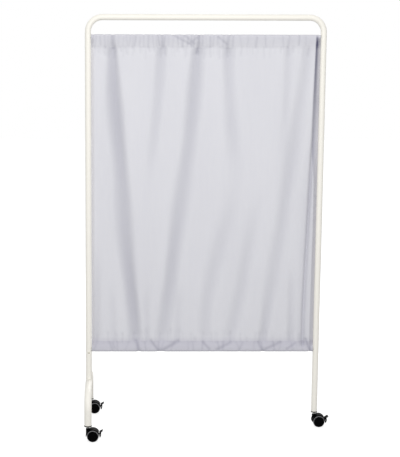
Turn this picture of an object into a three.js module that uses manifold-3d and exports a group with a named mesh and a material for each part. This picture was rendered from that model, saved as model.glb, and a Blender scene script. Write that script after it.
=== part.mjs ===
// Ward privacy screen on wheels: one bent tube frame with a cloth between two rods, on three castors.
// Millimetres. +Z is up, +X runs along the screen, -Y is the front. The floor is z = 0.

import * as THREE from 'three';
import { mergeVertices } from 'three/addons/utils/BufferGeometryUtils.js';
import Module from 'manifold-3d';

const wasm = await Module();
wasm.setup();

// Frame
const SCREEN_WIDTH = 1000; // over both posts
const SCREEN_HEIGHT = 1760; // floor to the top of the bar
const FRAME_TUBE_DIA = 25;
const FRAME_TUBE_WALL = 1.5;
const CORNER_RADIUS = 60; // of the tube's centre line

// Left foot: an arch across the screen, with a spigot up into the left post
const FOOT_SPREAD = 420; // between its two legs' centre lines
const FOOT_CROWN_HEIGHT = 212; // floor to the top of the arch
const FOOT_TUBE_DIA = 30;
const FOOT_TUBE_WALL = 2;
const FOOT_BEND_RADIUS = 70;
const SPIGOT_RISE = 145; // above the crown
const SPIGOT_WALL = 2;

// Screw that holds the post on the spigot
const SCREW_HEIGHT = 330;
const SCREW_DIA = 5;
const SCREW_LENGTH = 12; // under its head
const SCREW_HEAD_DIA = 9;
const SCREW_HEAD_RISE = 2.4;
const SCREW_SOCKET_DEPTH = 1.2;

// Curtain rods
const ROD_DIA = 10;
const ROD_WALL = 1;
const ROD_SEAT = 3; // how far an end reaches past the post's inner wall

// Curtain
const CLOTH_TOP_DROP = 83; // below the top of the bar
const CLOTH_BOTTOM_HEIGHT = 334;
const CLOTH_THICKNESS = 1.5;
const TOP_HEM = 51; // top edge to the seam under the rod pocket
const BOTTOM_HEM = 43;
const SEAM_WIDTH = 4;
const FOLD_DEPTH = 18; // the deepest fold
const FOLD_FADE = 110; // height over which a fold dies out at a seam

// Castors
const WHEEL_DIA = 50;
const WHEEL_WIDTH = 18;
const WHEEL_SHOULDER = 7; // radial width of the bevel round the outer face
const WHEEL_SHOULDER_DEPTH = 4;
const WHEEL_INNER_CHAMFER = 1.5;
const WHEEL_SIDE_GAP = 0.8; // to the web of the hood
const CAP_DIA = 30;
const CAP_RECESS = 2;
const CAP_DOME = 0.8;
const CAP_EDGE = 1.5;
const AXLE_DIA = 6;
const CASTOR_TRAIL = 20; // swivel axis to the axle
const HOOD_WEB = 8;
const HOOD_WIDTH = 41;
const HOOD_WALL = 2.9;
const HOOD_CLEARANCE = 1.6; // round the tread
const HUB_DIA = 18;
const NECK_DIA = 18;
const NECK_RISE = 30.5; // above the axle
const BRIDGE_WIDTH = 14; // flat top between the neck and the crown of the hood
const BRIDGE_DROP = 1;
const STEM_DIA = 8;
const STEM_SEAT = 7; // depth in the neck
const STEM_REACH = 26; // above the bottom of the tube
const STEM_COLLAR_DIA = 12;
const STEM_COLLAR_HEIGHT = 1.5;
const STEM_TIP_CHAMFER = 1;
const STEM_SHOWING = 7.5; // between the neck and the plug's flange
const PLUG_FLANGE_HEIGHT = 5;
const PLUG_FLANGE_PROUD = 1; // beyond the tube, all round
const PLUG_SLEEVE = 28; // length inside the tube
const PLUG_TIP_CHAMFER = 1.2;
const PEDAL_LENGTH = 20.4; // from the inside of the hood to the pedal's tip
const PEDAL_WIDTH = 28;
const PEDAL_PIN_DIA = 2.6;
const TONGUE_DIA = 6; // the web's lug that carries the pedal

// Gaps
const SEAT_GAP = 0.3; // between pieces that touch
const RUN_GAP = 0.3; // round a shaft that turns
const CLOTH_GAP = 0.4; // between cloth and rod
const CLOTH_SIDE_GAP = 1.5; // between cloth and post
const TONGUE_GAP = 0.6;
const OVERRUN = 5; // how far a cutter passes a face

// Places round the axle, as [share of the pedal's length beyond the hood's inner wall, angle in degrees]
const PEDAL_OUTLINE_SHARES = [
  [0.235, 28.9],
  [0.97, 29.2],
  [1.0, 26.8],
  [0.466, 23.2],
  [0.5, 19.0],
  [0.446, 9.7],
  [0.363, 0.0],
  [0.235, -12.9],
  [0.16, -13.9],
  [0.067, -4.1],
  [0.03, 6.3],
  [0.067, 16.6],
];
const PEDAL_PIVOT_SHARES = [0.206, 11.2];
const HOOD_END_ANGLE = 34; // degrees above level, where the guard stops over the pedal

// Folds of the cloth, in shares of its width and of FOLD_DEPTH: each one's place and half width at the top seam
// and at the bottom seam, its depth at the top, middle and bottom, and its columns in half widths
const FOLD_SHARES = [
  { top: [0.0855, 0.036], bottom: [0.206, 0.036], depths: [0.55, 0.8, 0.8], columns: [-1, -0.5, 0, 0.5, 1] },
  { top: [0.2985, 0.022], bottom: [0.255, 0.008], depths: [0.35, 0.2, 0.05], columns: [-1, 0, 1] },
  { top: [0.463, 0.038], bottom: [0.31, 0.038], depths: [0.6, 0.9, 0.7], columns: [-1, -0.5, 0, 0.5, 1] },
  { top: [0.6037, 0.03], bottom: [0.5, 0.03], depths: [0.4, 0.15, 0.1], columns: [-1, 0, 1] },
  { top: [0.7, 0.03], bottom: [0.6225, 0.03], depths: [0.1, 0.2, 0.3], columns: [-1, 0, 1] },
  { top: [0.922, 0.032], bottom: [0.776, 0.032], depths: [0.1, 0.3, 0.3], columns: [-1, 0, 1] },
  { top: [0.982, 0.012], bottom: [0.951, 0.012], depths: [0.9, 1.0, 0.8], columns: [-1, 0, 1] },
];
const PLAIN_COLUMN_SHARES = [
  [0, 0],
  [0.025, 0.085],
  [0.997, 0.982],
  [1, 1],
];
const CLOTH_ROWS = 9;
const POCKET_ARC = 4; // facets over a rod

// Facets
const TUBE_SIDES = 20;
const BEND_STEPS = 8;
const WHEEL_SIDES = 32;
const TURNED_SIDES = 20;
const SMALL_SIDES = 12;
const HOOD_ARC_STEPS = 12;

// Derived sizes
const legX = (SCREEN_WIDTH - FRAME_TUBE_DIA) / 2;
const footLegY = FOOT_SPREAD / 2;
const wheelRadius = WHEEL_DIA / 2;
const neckTop = wheelRadius + NECK_RISE;
const flangeBottom = neckTop + STEM_SHOWING;
const legBottom = flangeBottom + PLUG_FLANGE_HEIGHT + SEAT_GAP;
const barZ = SCREEN_HEIGHT - FRAME_TUBE_DIA / 2;
const crownZ = FOOT_CROWN_HEIGHT - FOOT_TUBE_DIA / 2;
const postBore = FRAME_TUBE_DIA - 2 * FRAME_TUBE_WALL;
const footBore = FOOT_TUBE_DIA - 2 * FOOT_TUBE_WALL;
const rodRadius = ROD_DIA / 2;
const pocketInner = (rodRadius + CLOTH_GAP) / Math.cos(Math.PI / 2 / POCKET_ARC);
const pocketOuter = pocketInner + CLOTH_THICKNESS;
const clothTop = SCREEN_HEIGHT - CLOTH_TOP_DROP;
const topRodZ = clothTop - pocketOuter;
const bottomRodZ = CLOTH_BOTTOM_HEIGHT + pocketOuter;
const wellRadius = wheelRadius + HOOD_CLEARANCE;
const guardRadius = wellRadius + HOOD_WALL;
const wheelInnerY = HOOD_WEB / 2 + WHEEL_SIDE_GAP;
const wheelOuterY = wheelInnerY + WHEEL_WIDTH;

// Materials
function paint(color, roughness, metalness) {
  return new THREE.MeshStandardMaterial({ color, roughness, metalness });
}
const ivoryCoat = () => paint(0xf1ede2, 0.42, 0.0);
const zincSteel = () => paint(0xb9bab6, 0.35, 0.9);
const screwSteel = () => paint(0x8d8a82, 0.4, 0.9);
const clothGrey = () => paint(0xd2d1da, 0.9, 0.0);
const blackPlastic = () => paint(0x17171a, 0.45, 0.0);
const wheelBlack = () => paint(0x1d1d20, 0.5, 0.0);
const darkPlug = () => paint(0x2a2926, 0.55, 0.0);

// Corners of a regular polygon whose flats touch the true circle and face the axes
function ring(diameter, sides) {
  const corner = diameter / 2 / Math.cos(Math.PI / sides);
  return Array.from({ length: sides }, (_, i) => {
    const a = ((i + 0.5) * 2 * Math.PI) / sides;
    return new THREE.Vector2(corner * Math.cos(a), corner * Math.sin(a));
  });
}

// Turns a profile of [radius, height] points about Y, with flats that touch the true circle
function turned(profile, sides) {
  const grow = 1 / Math.cos(Math.PI / sides);
  const points = profile.map(([r, h]) => new THREE.Vector2(r * grow, h));
  return outward(new THREE.LatheGeometry(points, sides, Math.PI / sides, 2 * Math.PI));
}

// A closed ring profile ends where it starts
function turnedRing(profile, sides) {
  return turned([...profile, profile[0]], sides);
}

// Stands a piece that was turned about Y upright along Z
function upright(geometry) {
  return geometry.rotateX(Math.PI / 2);
}

function rodAlongY(diameter, length, sides) {
  const h = length / 2;
  return turned([[0, -h], [diameter / 2, -h], [diameter / 2, h], [0, h]], sides);
}

function bareTriangles(geometry) {
  const bare = geometry.clone();
  bare.deleteAttribute('normal');
  bare.deleteAttribute('uv');
  return mergeVertices(bare.index ? bare.toNonIndexed() : bare);
}

// Six times the signed volume of a closed mesh
function signedVolume(geometry) {
  const p = geometry.attributes.position;
  const index = geometry.index.array;
  const [a, b, c] = [new THREE.Vector3(), new THREE.Vector3(), new THREE.Vector3()];
  let sum = 0;
  for (let i = 0; i < index.length; i += 3) {
    a.fromBufferAttribute(p, index[i]);
    b.fromBufferAttribute(p, index[i + 1]);
    c.fromBufferAttribute(p, index[i + 2]);
    sum += a.dot(b.cross(c));
  }
  return sum;
}

// Makes a closed mesh's faces point out
function outward(geometry) {
  const bare = bareTriangles(geometry);
  if (signedVolume(bare) < 0) {
    const index = bare.index.array;
    for (let i = 0; i < index.length; i += 3) {
      [index[i], index[i + 1]] = [index[i + 1], index[i]];
    }
  }
  return bare;
}

function solidOf(geometry) {
  const bare = outward(geometry);
  return new wasm.Manifold(
    new wasm.Mesh({
      numProp: 3,
      vertProperties: new Float32Array(bare.attributes.position.array),
      triVerts: new Uint32Array(bare.index.array),
    }),
  );
}

function geometryOf(solid) {
  const mesh = solid.getMesh();
  const geometry = new THREE.BufferGeometry();
  geometry.setAttribute('position', new THREE.BufferAttribute(new Float32Array(mesh.vertProperties), 3));
  geometry.setIndex(new THREE.BufferAttribute(new Uint32Array(mesh.triVerts), 1));
  return geometry;
}

function joined(...geometries) {
  return geometryOf(geometries.map(solidOf).reduce((all, next) => all.add(next)));
}

function cut(body, ...cutters) {
  return geometryOf(cutters.map(solidOf).reduce((left, next) => left.subtract(next), solidOf(body)));
}

// A plate whose outline lies in X and Z and whose width is centred on Y = 0
function plateXZ(outline, width) {
  const plate = new THREE.ExtrudeGeometry(new THREE.Shape(outline), { depth: width, bevelEnabled: false });
  return outward(plate.rotateX(Math.PI / 2).translate(0, width / 2, 0));
}

// A path of chosen stations, so that straight runs take one step and bends take several
class BentPath extends THREE.Curve {
  constructor(stations) {
    super();
    this.stations = stations;
  }

  getPoint(t, target = new THREE.Vector3()) {
    const place = t * (this.stations.length - 1);
    const i = Math.min(Math.floor(place), this.stations.length - 2);
    return target.lerpVectors(this.stations[i].point, this.stations[i + 1].point, place - i);
  }

  getPointAt(u, target) {
    return this.getPoint(u, target);
  }

  getTangentAt(u, target = new THREE.Vector3()) {
    return target.copy(this.stations[Math.round(u * (this.stations.length - 1))].tangent);
  }
}

// Stations of a path through corner points, each inner corner rounded to the bend radius
function bentStations(corners, bendRadius) {
  const stations = [];
  const direction = (from, to) => to.clone().sub(from).normalize();
  stations.push({ point: corners[0], tangent: direction(corners[0], corners[1]) });
  for (let i = 1; i < corners.length - 1; i += 1) {
    const into = direction(corners[i - 1], corners[i]);
    const away = direction(corners[i], corners[i + 1]);
    const turn = into.angleTo(away);
    const setback = bendRadius * Math.tan(turn / 2);
    const start = corners[i].clone().addScaledVector(into, -setback);
    const centre = start.clone().addScaledVector(inwardNormal(into, away), bendRadius);
    const spin = into.clone().cross(away).normalize();
    for (let k = 0; k <= BEND_STEPS; k += 1) {
      const angle = (turn * k) / BEND_STEPS;
      const arm = start.clone().sub(centre).applyAxisAngle(spin, angle);
      stations.push({ point: centre.clone().add(arm), tangent: into.clone().applyAxisAngle(spin, angle) });
    }
  }
  const last = corners.length - 1;
  stations.push({ point: corners[last], tangent: direction(corners[last - 1], corners[last]) });
  return stations;
}

// Square to the way in, towards the way out
function inwardNormal(into, away) {
  return away.clone().addScaledVector(into, -away.dot(into)).normalize();
}

function bentTube(corners, bendRadius, diameter, wall) {
  const section = new THREE.Shape(ring(diameter, TUBE_SIDES));
  section.holes.push(new THREE.Path(ring(diameter - 2 * wall, TUBE_SIDES)));
  const stations = bentStations(corners, bendRadius);
  return outward(
    new THREE.ExtrudeGeometry(section, { steps: stations.length - 1, extrudePath: new BentPath(stations) }),
  );
}

function place(geometry, x, y, z) {
  return geometry.translate(x, y, z);
}

function named(name, geometry, material) {
  const mesh = new THREE.Mesh(geometry, material);
  mesh.name = name;
  return mesh;
}

// Upper frame: left post, bar and right post in one tube. The left post ends in a saddle on the foot's crown.
function rodHole(x, z) {
  const hole = rodAlongY(ROD_DIA + 2 * SEAT_GAP, FRAME_TUBE_DIA, SMALL_SIDES).rotateZ(Math.PI / 2);
  return place(hole, x, 0, z);
}

function upperFrame() {
  const tube = bentTube(
    [
      new THREE.Vector3(-legX, 0, crownZ),
      new THREE.Vector3(-legX, 0, barZ),
      new THREE.Vector3(legX, 0, barZ),
      new THREE.Vector3(legX, 0, legBottom),
    ],
    CORNER_RADIUS,
    FRAME_TUBE_DIA,
    FRAME_TUBE_WALL,
  );
  const innerFace = legX - FRAME_TUBE_DIA / 2;
  const saddle = rodAlongY(FOOT_TUBE_DIA + 2 * SEAT_GAP, FOOT_SPREAD / 2, TUBE_SIDES);
  return cut(
    tube,
    place(saddle, -legX, 0, crownZ),
    place(screwHole(), -legX, 0, SCREW_HEIGHT),
    rodHole(-innerFace, topRodZ),
    rodHole(innerFace, topRodZ),
    rodHole(-innerFace, bottomRodZ),
    rodHole(innerFace, bottomRodZ),
  );
}

function screwHole() {
  const reach = FRAME_TUBE_DIA / 2 + OVERRUN;
  return place(rodAlongY(SCREW_DIA + 2 * SEAT_GAP, reach, SMALL_SIDES), 0, -reach / 2, 0);
}

// Left foot: the arch and the spigot that the post slides over. The bottom rod's end enters both.
function leftFoot() {
  const arch = bentTube(
    [
      new THREE.Vector3(-legX, -footLegY, legBottom),
      new THREE.Vector3(-legX, -footLegY, crownZ),
      new THREE.Vector3(-legX, footLegY, crownZ),
      new THREE.Vector3(-legX, footLegY, legBottom),
    ],
    FOOT_BEND_RADIUS,
    FOOT_TUBE_DIA,
    FOOT_TUBE_WALL,
  );
  const outer = postBore / 2 - SEAT_GAP;
  const inner = outer - SPIGOT_WALL;
  const top = FOOT_CROWN_HEIGHT + SPIGOT_RISE;
  const low = crownZ + footBore / 2 + FOOT_TUBE_WALL / 2;
  const spigot = upright(turnedRing([[outer, low], [inner, low], [inner, top], [outer, top]], TUBE_SIDES));
  return cut(
    joined(arch, place(spigot, -legX, 0, 0)),
    place(screwHole(), -legX, 0, SCREW_HEIGHT),
    rodHole(FRAME_TUBE_DIA / 2 - legX, bottomRodZ),
  );
}

// Round-headed screw from the front, with a socket as wide at its mouth as the shank
function footScrew() {
  const seat = -FRAME_TUBE_DIA / 2 - SEAT_GAP;
  const head = SCREW_HEAD_DIA / 2;
  const shank = SCREW_DIA / 2;
  const face = seat - SCREW_HEAD_RISE;
  const profile = [
    [0, seat + SCREW_LENGTH],
    [shank, seat + SCREW_LENGTH],
    [shank, seat],
    [head, seat],
    [head, face + SCREW_HEAD_RISE / 2],
    [shank, face],
    [shank / 2, face + SCREW_SOCKET_DEPTH],
    [0, face + SCREW_SOCKET_DEPTH],
  ];
  return place(turned(profile, SMALL_SIDES), -legX, 0, SCREW_HEIGHT);
}

// Rods, seated in holes in both posts
function curtainRod(z) {
  const half = legX - FRAME_TUBE_DIA / 2 + FRAME_TUBE_WALL + ROD_SEAT;
  const inner = rodRadius - ROD_WALL;
  const tube = turnedRing([[rodRadius, -half], [inner, -half], [inner, half], [rodRadius, half]], SMALL_SIDES);
  return place(tube.rotateZ(Math.PI / 2), 0, 0, z);
}

// Curtain: rod pockets at the top and bottom, and one layer with slanting folds between the seams
const clothHalf = legX - FRAME_TUBE_DIA / 2 - CLOTH_SIDE_GAP;
const topSeamZ = clothTop - TOP_HEM;
const bottomSeamZ = CLOTH_BOTTOM_HEIGHT + BOTTOM_HEM;

// Smooth step from 0 to 1
function ease(t) {
  const s = Math.min(Math.max(t, 0), 1);
  return s * s * (3 - 2 * s);
}

function foldStrength(depths, down) {
  const [top, middle, bottom] = depths;
  return down < 0.5 ? top + (middle - top) * down * 2 : middle + (bottom - middle) * (down * 2 - 1);
}

// How far the cloth stands back at a place, 0 at both seams
function foldOffset(x, z) {
  const down = (topSeamZ - z) / (topSeamZ - bottomSeamZ);
  const share = (x + clothHalf) / (2 * clothHalf);
  const fade = ease((topSeamZ - z) / FOLD_FADE) * ease((z - bottomSeamZ) / FOLD_FADE);
  let sum = 0;
  for (const fold of FOLD_SHARES) {
    const centre = fold.top[0] + (fold.bottom[0] - fold.top[0]) * down;
    const half = fold.top[1] + (fold.bottom[1] - fold.top[1]) * down;
    const away = Math.min(Math.abs(share - centre) / half, 1);
    sum += foldStrength(fold.depths, down) * (0.5 + 0.5 * Math.cos(Math.PI * away));
  }
  return sum * FOLD_DEPTH * fade;
}

// Columns of the cloth as [share at the top, share at the bottom], in order
function clothColumns() {
  const columns = [...PLAIN_COLUMN_SHARES];
  for (const fold of FOLD_SHARES) {
    for (const k of fold.columns) {
      columns.push([fold.top[0] + k * fold.top[1], fold.bottom[0] + k * fold.bottom[1]]);
    }
  }
  return columns.sort((a, b) => a[0] - b[0]);
}

// Half loop over a rod, from the front side to the back, up or down
function pocketArc(radius, rodZ, up) {
  return Array.from({ length: POCKET_ARC + 1 }, (_, i) => {
    const a = Math.PI - (Math.PI * i) / POCKET_ARC;
    return new THREE.Vector2(radius * Math.cos(a), rodZ + up * radius * Math.sin(a));
  });
}

// Puts a loop's points in clockwise or anticlockwise order
function wound(loop, clockwise) {
  return THREE.ShapeUtils.isClockWise(loop) === clockwise ? loop : loop.reverse();
}

// Section of the cloth in Y and Z: its outline and the two rod pockets
function clothSection() {
  const half = CLOTH_THICKNESS / 2;
  const levels = Array.from(
    { length: CLOTH_ROWS + 1 },
    (_, i) => bottomSeamZ + ((topSeamZ - bottomSeamZ) * i) / CLOTH_ROWS,
  );
  const front = levels.map((z) => new THREE.Vector2(-half, z));
  const back = levels.map((z) => new THREE.Vector2(half, z)).reverse();
  const top = pocketArc(pocketOuter, topRodZ, 1);
  const bottom = pocketArc(pocketOuter, bottomRodZ, -1).reverse();
  const pocket = (rodZ, up, seamZ) => [new THREE.Vector2(0, seamZ), ...pocketArc(pocketInner, rodZ, up)];
  const upper = pocket(topRodZ, 1, topSeamZ + SEAM_WIDTH);
  const lower = pocket(bottomRodZ, -1, bottomSeamZ - SEAM_WIDTH);
  return {
    outline: wound([...front, ...top, ...back, ...bottom], false),
    pockets: [wound(upper, true), wound(lower, true)],
  };
}

function clothPoint(column, p) {
  const down = Math.min(Math.max((topSeamZ - p.y) / (topSeamZ - bottomSeamZ), 0), 1);
  const share = column[0] + (column[1] - column[0]) * down;
  const x = (2 * share - 1) * clothHalf;
  return [x, p.x + foldOffset(x, p.y), p.y];
}

function curtain() {
  const { outline, pockets } = clothSection();
  const loops = [outline, ...pockets];
  const columns = clothColumns();
  const ringSize = loops.reduce((n, loop) => n + loop.length, 0);
  const positions = columns.flatMap((column) => loops.flat().flatMap((p) => clothPoint(column, p)));
  const index = [];
  for (let c = 0; c < columns.length - 1; c += 1) {
    let start = c * ringSize;
    for (const loop of loops) {
      for (let i = 0; i < loop.length; i += 1) {
        const a = start + i;
        const b = start + ((i + 1) % loop.length);
        index.push(a, b, a + ringSize, b, b + ringSize, a + ringSize);
      }
      start += loop.length;
    }
  }
  const capFaces = THREE.ShapeUtils.triangulateShape(outline, pockets);
  const far = (columns.length - 1) * ringSize;
  return sheetGeometry(positions, index, capFaces, far);
}

// Closes both side edges of the cloth with the section's triangles
function sheetGeometry(positions, index, capFaces, far) {
  const faces = [...index];
  for (const [a, b, c] of capFaces) {
    faces.push(a, c, b, far + a, far + b, far + c);
  }
  const geometry = new THREE.BufferGeometry();
  geometry.setAttribute('position', new THREE.Float32BufferAttribute(positions, 3));
  geometry.setIndex(faces);
  return outward(geometry);
}

// Castor pieces, drawn with the swivel axis at x = 0 and the wheels trailing towards +X
function aboutAxle(radius, degrees) {
  const a = THREE.MathUtils.degToRad(degrees);
  return new THREE.Vector2(CASTOR_TRAIL + radius * Math.cos(a), wheelRadius + radius * Math.sin(a));
}

function pedalPoint([share, degrees]) {
  return aboutAxle(wellRadius + share * PEDAL_LENGTH, degrees);
}

// A slice of a disc round the axle
function axleSector(radius, fromDegrees, toDegrees, width) {
  const arc = Array.from({ length: HOOD_ARC_STEPS + 1 }, (_, i) =>
    aboutAxle(radius, fromDegrees + ((toDegrees - fromDegrees) * i) / HOOD_ARC_STEPS),
  );
  return plateXZ([aboutAxle(0, 0), ...arc], width);
}

function axleCylinder(diameter, length, sides) {
  return place(rodAlongY(diameter, length, sides), CASTOR_TRAIL, 0, wheelRadius);
}

function block(x0, x1, width, z0, z1) {
  return place(new THREE.BoxGeometry(x1 - x0, width, z1 - z0), (x0 + x1) / 2, 0, (z0 + z1) / 2);
}

// Neck, guard over the wheels, web between them and the lug for the pedal
function castorHood() {
  const neckShape = [[0, wheelRadius], [NECK_DIA / 2, wheelRadius], [NECK_DIA / 2, neckTop], [0, neckTop]];
  const neck = upright(turned(neckShape, TURNED_SIDES));
  const bridge = block(0, CASTOR_TRAIL, BRIDGE_WIDTH, wheelRadius, neckTop - BRIDGE_DROP);
  const guard = axleSector(guardRadius, HOOD_END_ANGLE, 180, HOOD_WIDTH);
  const well = axleCylinder(2 * wellRadius, 2 * HOOD_WIDTH, WHEEL_SIDES);
  const shell = cut(joined(neck, bridge, guard), well);
  const pivot = pedalPoint(PEDAL_PIVOT_SHARES);
  const web = joined(
    axleSector(guardRadius - HOOD_WALL / 2, HOOD_END_ANGLE, 180, HOOD_WEB),
    axleSector(wheelRadius - HOOD_CLEARANCE, 0, HOOD_END_ANGLE, HOOD_WEB),
    axleCylinder(HUB_DIA, HOOD_WEB, TURNED_SIDES),
    block(CASTOR_TRAIL, pivot.x, HOOD_WEB, pivot.y - TONGUE_DIA / 2, pivot.y + TONGUE_DIA / 2),
    place(rodAlongY(TONGUE_DIA, HOOD_WEB, SMALL_SIDES), pivot.x, 0, pivot.y),
  );
  return cut(
    joined(shell, web),
    axleCylinder(AXLE_DIA + 2 * SEAT_GAP, HOOD_WIDTH, SMALL_SIDES),
    swivelCylinder(STEM_DIA + 2 * SEAT_GAP, neckTop - STEM_SEAT - SEAT_GAP, neckTop + OVERRUN),
    place(rodAlongY(PEDAL_PIN_DIA + 2 * SEAT_GAP, HOOD_WIDTH, SMALL_SIDES), pivot.x, 0, pivot.y),
  );
}

// An upright cylinder on the swivel axis
function swivelCylinder(diameter, z0, z1) {
  const cylinder = upright(rodAlongY(diameter, z1 - z0, TURNED_SIDES));
  return place(cylinder, 0, 0, (z0 + z1) / 2);
}

// Pedal: a fork round the web's lug, with a lip to tread on
function castorPedal() {
  const pivot = pedalPoint(PEDAL_PIVOT_SHARES);
  const body = plateXZ(PEDAL_OUTLINE_SHARES.map(pedalPoint), PEDAL_WIDTH);
  const slotWidth = HOOD_WEB + 2 * TONGUE_GAP;
  const slotDia = TONGUE_DIA + 2 * TONGUE_GAP;
  return cut(
    body,
    place(rodAlongY(slotDia, slotWidth, SMALL_SIDES), pivot.x, 0, pivot.y),
    block(CASTOR_TRAIL, pivot.x, slotWidth, pivot.y - slotDia / 2, pivot.y + slotDia / 2),
    place(rodAlongY(PEDAL_PIN_DIA + 2 * RUN_GAP, 2 * PEDAL_WIDTH, SMALL_SIDES), pivot.x, 0, pivot.y),
  );
}

function castorPedalPin() {
  const pivot = pedalPoint(PEDAL_PIVOT_SHARES);
  return place(rodAlongY(PEDAL_PIN_DIA, PEDAL_WIDTH - 2 * SEAT_GAP, SMALL_SIDES), pivot.x, 0, pivot.y);
}

function castorAxle() {
  return axleCylinder(AXLE_DIA, 2 * (wheelOuterY - CAP_RECESS - SEAT_GAP), SMALL_SIDES);
}

// Side is -1 for the front wheel and 1 for the rear one
function castorWheel(side) {
  const bore = AXLE_DIA / 2 + RUN_GAP;
  const recess = CAP_DIA / 2 + SEAT_GAP;
  const profile = [
    [bore, wheelInnerY],
    [wheelRadius - WHEEL_INNER_CHAMFER, wheelInnerY],
    [wheelRadius, wheelInnerY + WHEEL_INNER_CHAMFER],
    [wheelRadius, wheelOuterY - WHEEL_SHOULDER_DEPTH],
    [wheelRadius - WHEEL_SHOULDER, wheelOuterY],
    [recess, wheelOuterY],
    [recess, wheelOuterY - CAP_RECESS],
    [bore, wheelOuterY - CAP_RECESS],
  ].map(([r, h]) => [r, side * h]);
  return place(turnedRing(profile, WHEEL_SIDES), CASTOR_TRAIL, 0, wheelRadius);
}

function castorCap(side) {
  const edge = CAP_DIA / 2;
  const back = wheelOuterY - CAP_RECESS + SEAT_GAP;
  const profile = [
    [0, back],
    [edge, back],
    [edge, wheelOuterY],
    [edge - CAP_EDGE, wheelOuterY + CAP_DOME],
    [0, wheelOuterY + CAP_DOME],
  ].map(([r, h]) => [r, side * h]);
  return place(turned(profile, TURNED_SIDES), CASTOR_TRAIL, 0, wheelRadius);
}

// Stem: seated in the hood's neck, with a collar under the plug
function castorStem() {
  const low = neckTop - STEM_SEAT;
  const collarTop = flangeBottom - RUN_GAP;
  const top = legBottom + STEM_REACH;
  const r = STEM_DIA / 2;
  const profile = [
    [0, low],
    [r, low],
    [r, collarTop - STEM_COLLAR_HEIGHT],
    [STEM_COLLAR_DIA / 2, collarTop - STEM_COLLAR_HEIGHT],
    [STEM_COLLAR_DIA / 2, collarTop],
    [r, collarTop],
    [r, top - STEM_TIP_CHAMFER],
    [r - STEM_TIP_CHAMFER, top],
    [0, top],
  ];
  return upright(turned(profile, TURNED_SIDES));
}

// Plug: a flange under the tube, a sleeve in its bore and a hole for the stem
function castorPlug(tubeDia, tubeBore) {
  const flange = tubeDia / 2 + PLUG_FLANGE_PROUD;
  const sleeve = tubeBore / 2 - SEAT_GAP;
  const bore = STEM_DIA / 2 + RUN_GAP;
  const seat = flangeBottom + PLUG_FLANGE_HEIGHT;
  const top = seat + PLUG_SLEEVE;
  const profile = [
    [bore, flangeBottom],
    [flange, flangeBottom],
    [flange, seat],
    [sleeve, seat],
    [sleeve, top - PLUG_TIP_CHAMFER],
    [sleeve - PLUG_TIP_CHAMFER, top],
    [bore, top],
  ];
  return upright(turnedRing(profile, TURNED_SIDES));
}

// One castor under the end of a tube
function castor(prefix, x, y, tubeDia, tubeBore) {
  const group = new THREE.Group();
  group.position.set(x, y, 0);
  const add = (piece, geometry, material) => group.add(named(`${prefix}_castor_${piece}`, geometry, material));
  add('plug', castorPlug(tubeDia, tubeBore), darkPlug());
  add('stem', castorStem(), zincSteel());
  add('hood', castorHood(), blackPlastic());
  add('axle', castorAxle(), zincSteel());
  add('pedal', castorPedal(), blackPlastic());
  add('pedal_pin', castorPedalPin(), zincSteel());
  for (const [word, side] of [['front', -1], ['back', 1]]) {
    add(`${word}_wheel`, castorWheel(side), wheelBlack());
    add(`${word}_cap`, castorCap(side), blackPlastic());
  }
  return group;
}

// Assembly, with x = 0 midway between the furthest points on the left and on the right
function privacyScreen() {
  const screen = new THREE.Group();
  screen.add(named('upper_frame', upperFrame(), ivoryCoat()));
  screen.add(named('left_foot', leftFoot(), ivoryCoat()));
  screen.add(named('foot_screw', footScrew(), screwSteel()));
  screen.add(named('top_rod', curtainRod(topRodZ), zincSteel()));
  screen.add(named('bottom_rod', curtainRod(bottomRodZ), zincSteel()));
  screen.add(named('curtain', curtain(), clothGrey()));
  screen.add(castor('front_left', -legX, -footLegY, FOOT_TUBE_DIA, footBore));
  screen.add(castor('rear_left', -legX, footLegY, FOOT_TUBE_DIA, footBore));
  screen.add(castor('right', legX, 0, FRAME_TUBE_DIA, postBore));
  const reachLeft = legX + FOOT_TUBE_DIA / 2 + PLUG_FLANGE_PROUD;
  const reachRight = legX + Math.max(...PEDAL_OUTLINE_SHARES.map((p) => pedalPoint(p).x));
  screen.position.x = (reachLeft - reachRight) / 2;
  return screen;
}

export default privacyScreen();
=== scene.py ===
"""Ward privacy screen on wheels: its looks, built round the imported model.

Sizes are millimetres, and a mesh becomes metres when it is dressed. +Z is up, +X runs along the screen and -Y is the
front.
"""

import logging
import math
from dataclasses import dataclass
from enum import Enum

import bmesh
import bpy
import numpy as np
from mathutils import Matrix, Vector


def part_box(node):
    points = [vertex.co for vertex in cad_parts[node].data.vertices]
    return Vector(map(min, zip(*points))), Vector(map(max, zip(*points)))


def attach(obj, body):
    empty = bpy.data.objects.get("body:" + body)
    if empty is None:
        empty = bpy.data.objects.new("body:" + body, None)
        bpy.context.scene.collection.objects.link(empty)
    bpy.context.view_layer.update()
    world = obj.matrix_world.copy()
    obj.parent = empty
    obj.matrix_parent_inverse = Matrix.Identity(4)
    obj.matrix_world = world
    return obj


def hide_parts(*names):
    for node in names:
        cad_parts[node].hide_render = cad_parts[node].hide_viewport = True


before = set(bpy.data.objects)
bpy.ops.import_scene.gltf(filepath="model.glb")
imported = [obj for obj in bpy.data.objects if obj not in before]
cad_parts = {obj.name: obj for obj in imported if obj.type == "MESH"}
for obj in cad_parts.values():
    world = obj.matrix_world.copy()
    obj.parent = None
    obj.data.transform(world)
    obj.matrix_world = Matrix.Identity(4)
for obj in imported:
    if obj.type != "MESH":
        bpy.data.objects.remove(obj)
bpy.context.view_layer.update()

log = logging.getLogger("privacy_screen")

# Metres in a millimetre
MM = 0.001

# Width and height of the photograph, in pixels
IMAGE_SIZE = (400, 457)

# Points of a mesh that are nearer to each other than this, in millimetres, become one
MERGE_DISTANCE = 0.001

# Faces that meet at more than this many degrees keep a sharp edge
SHARP_FROM = 35.0

# Added to a length before something is divided by it
TINY = 1e-12

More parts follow.
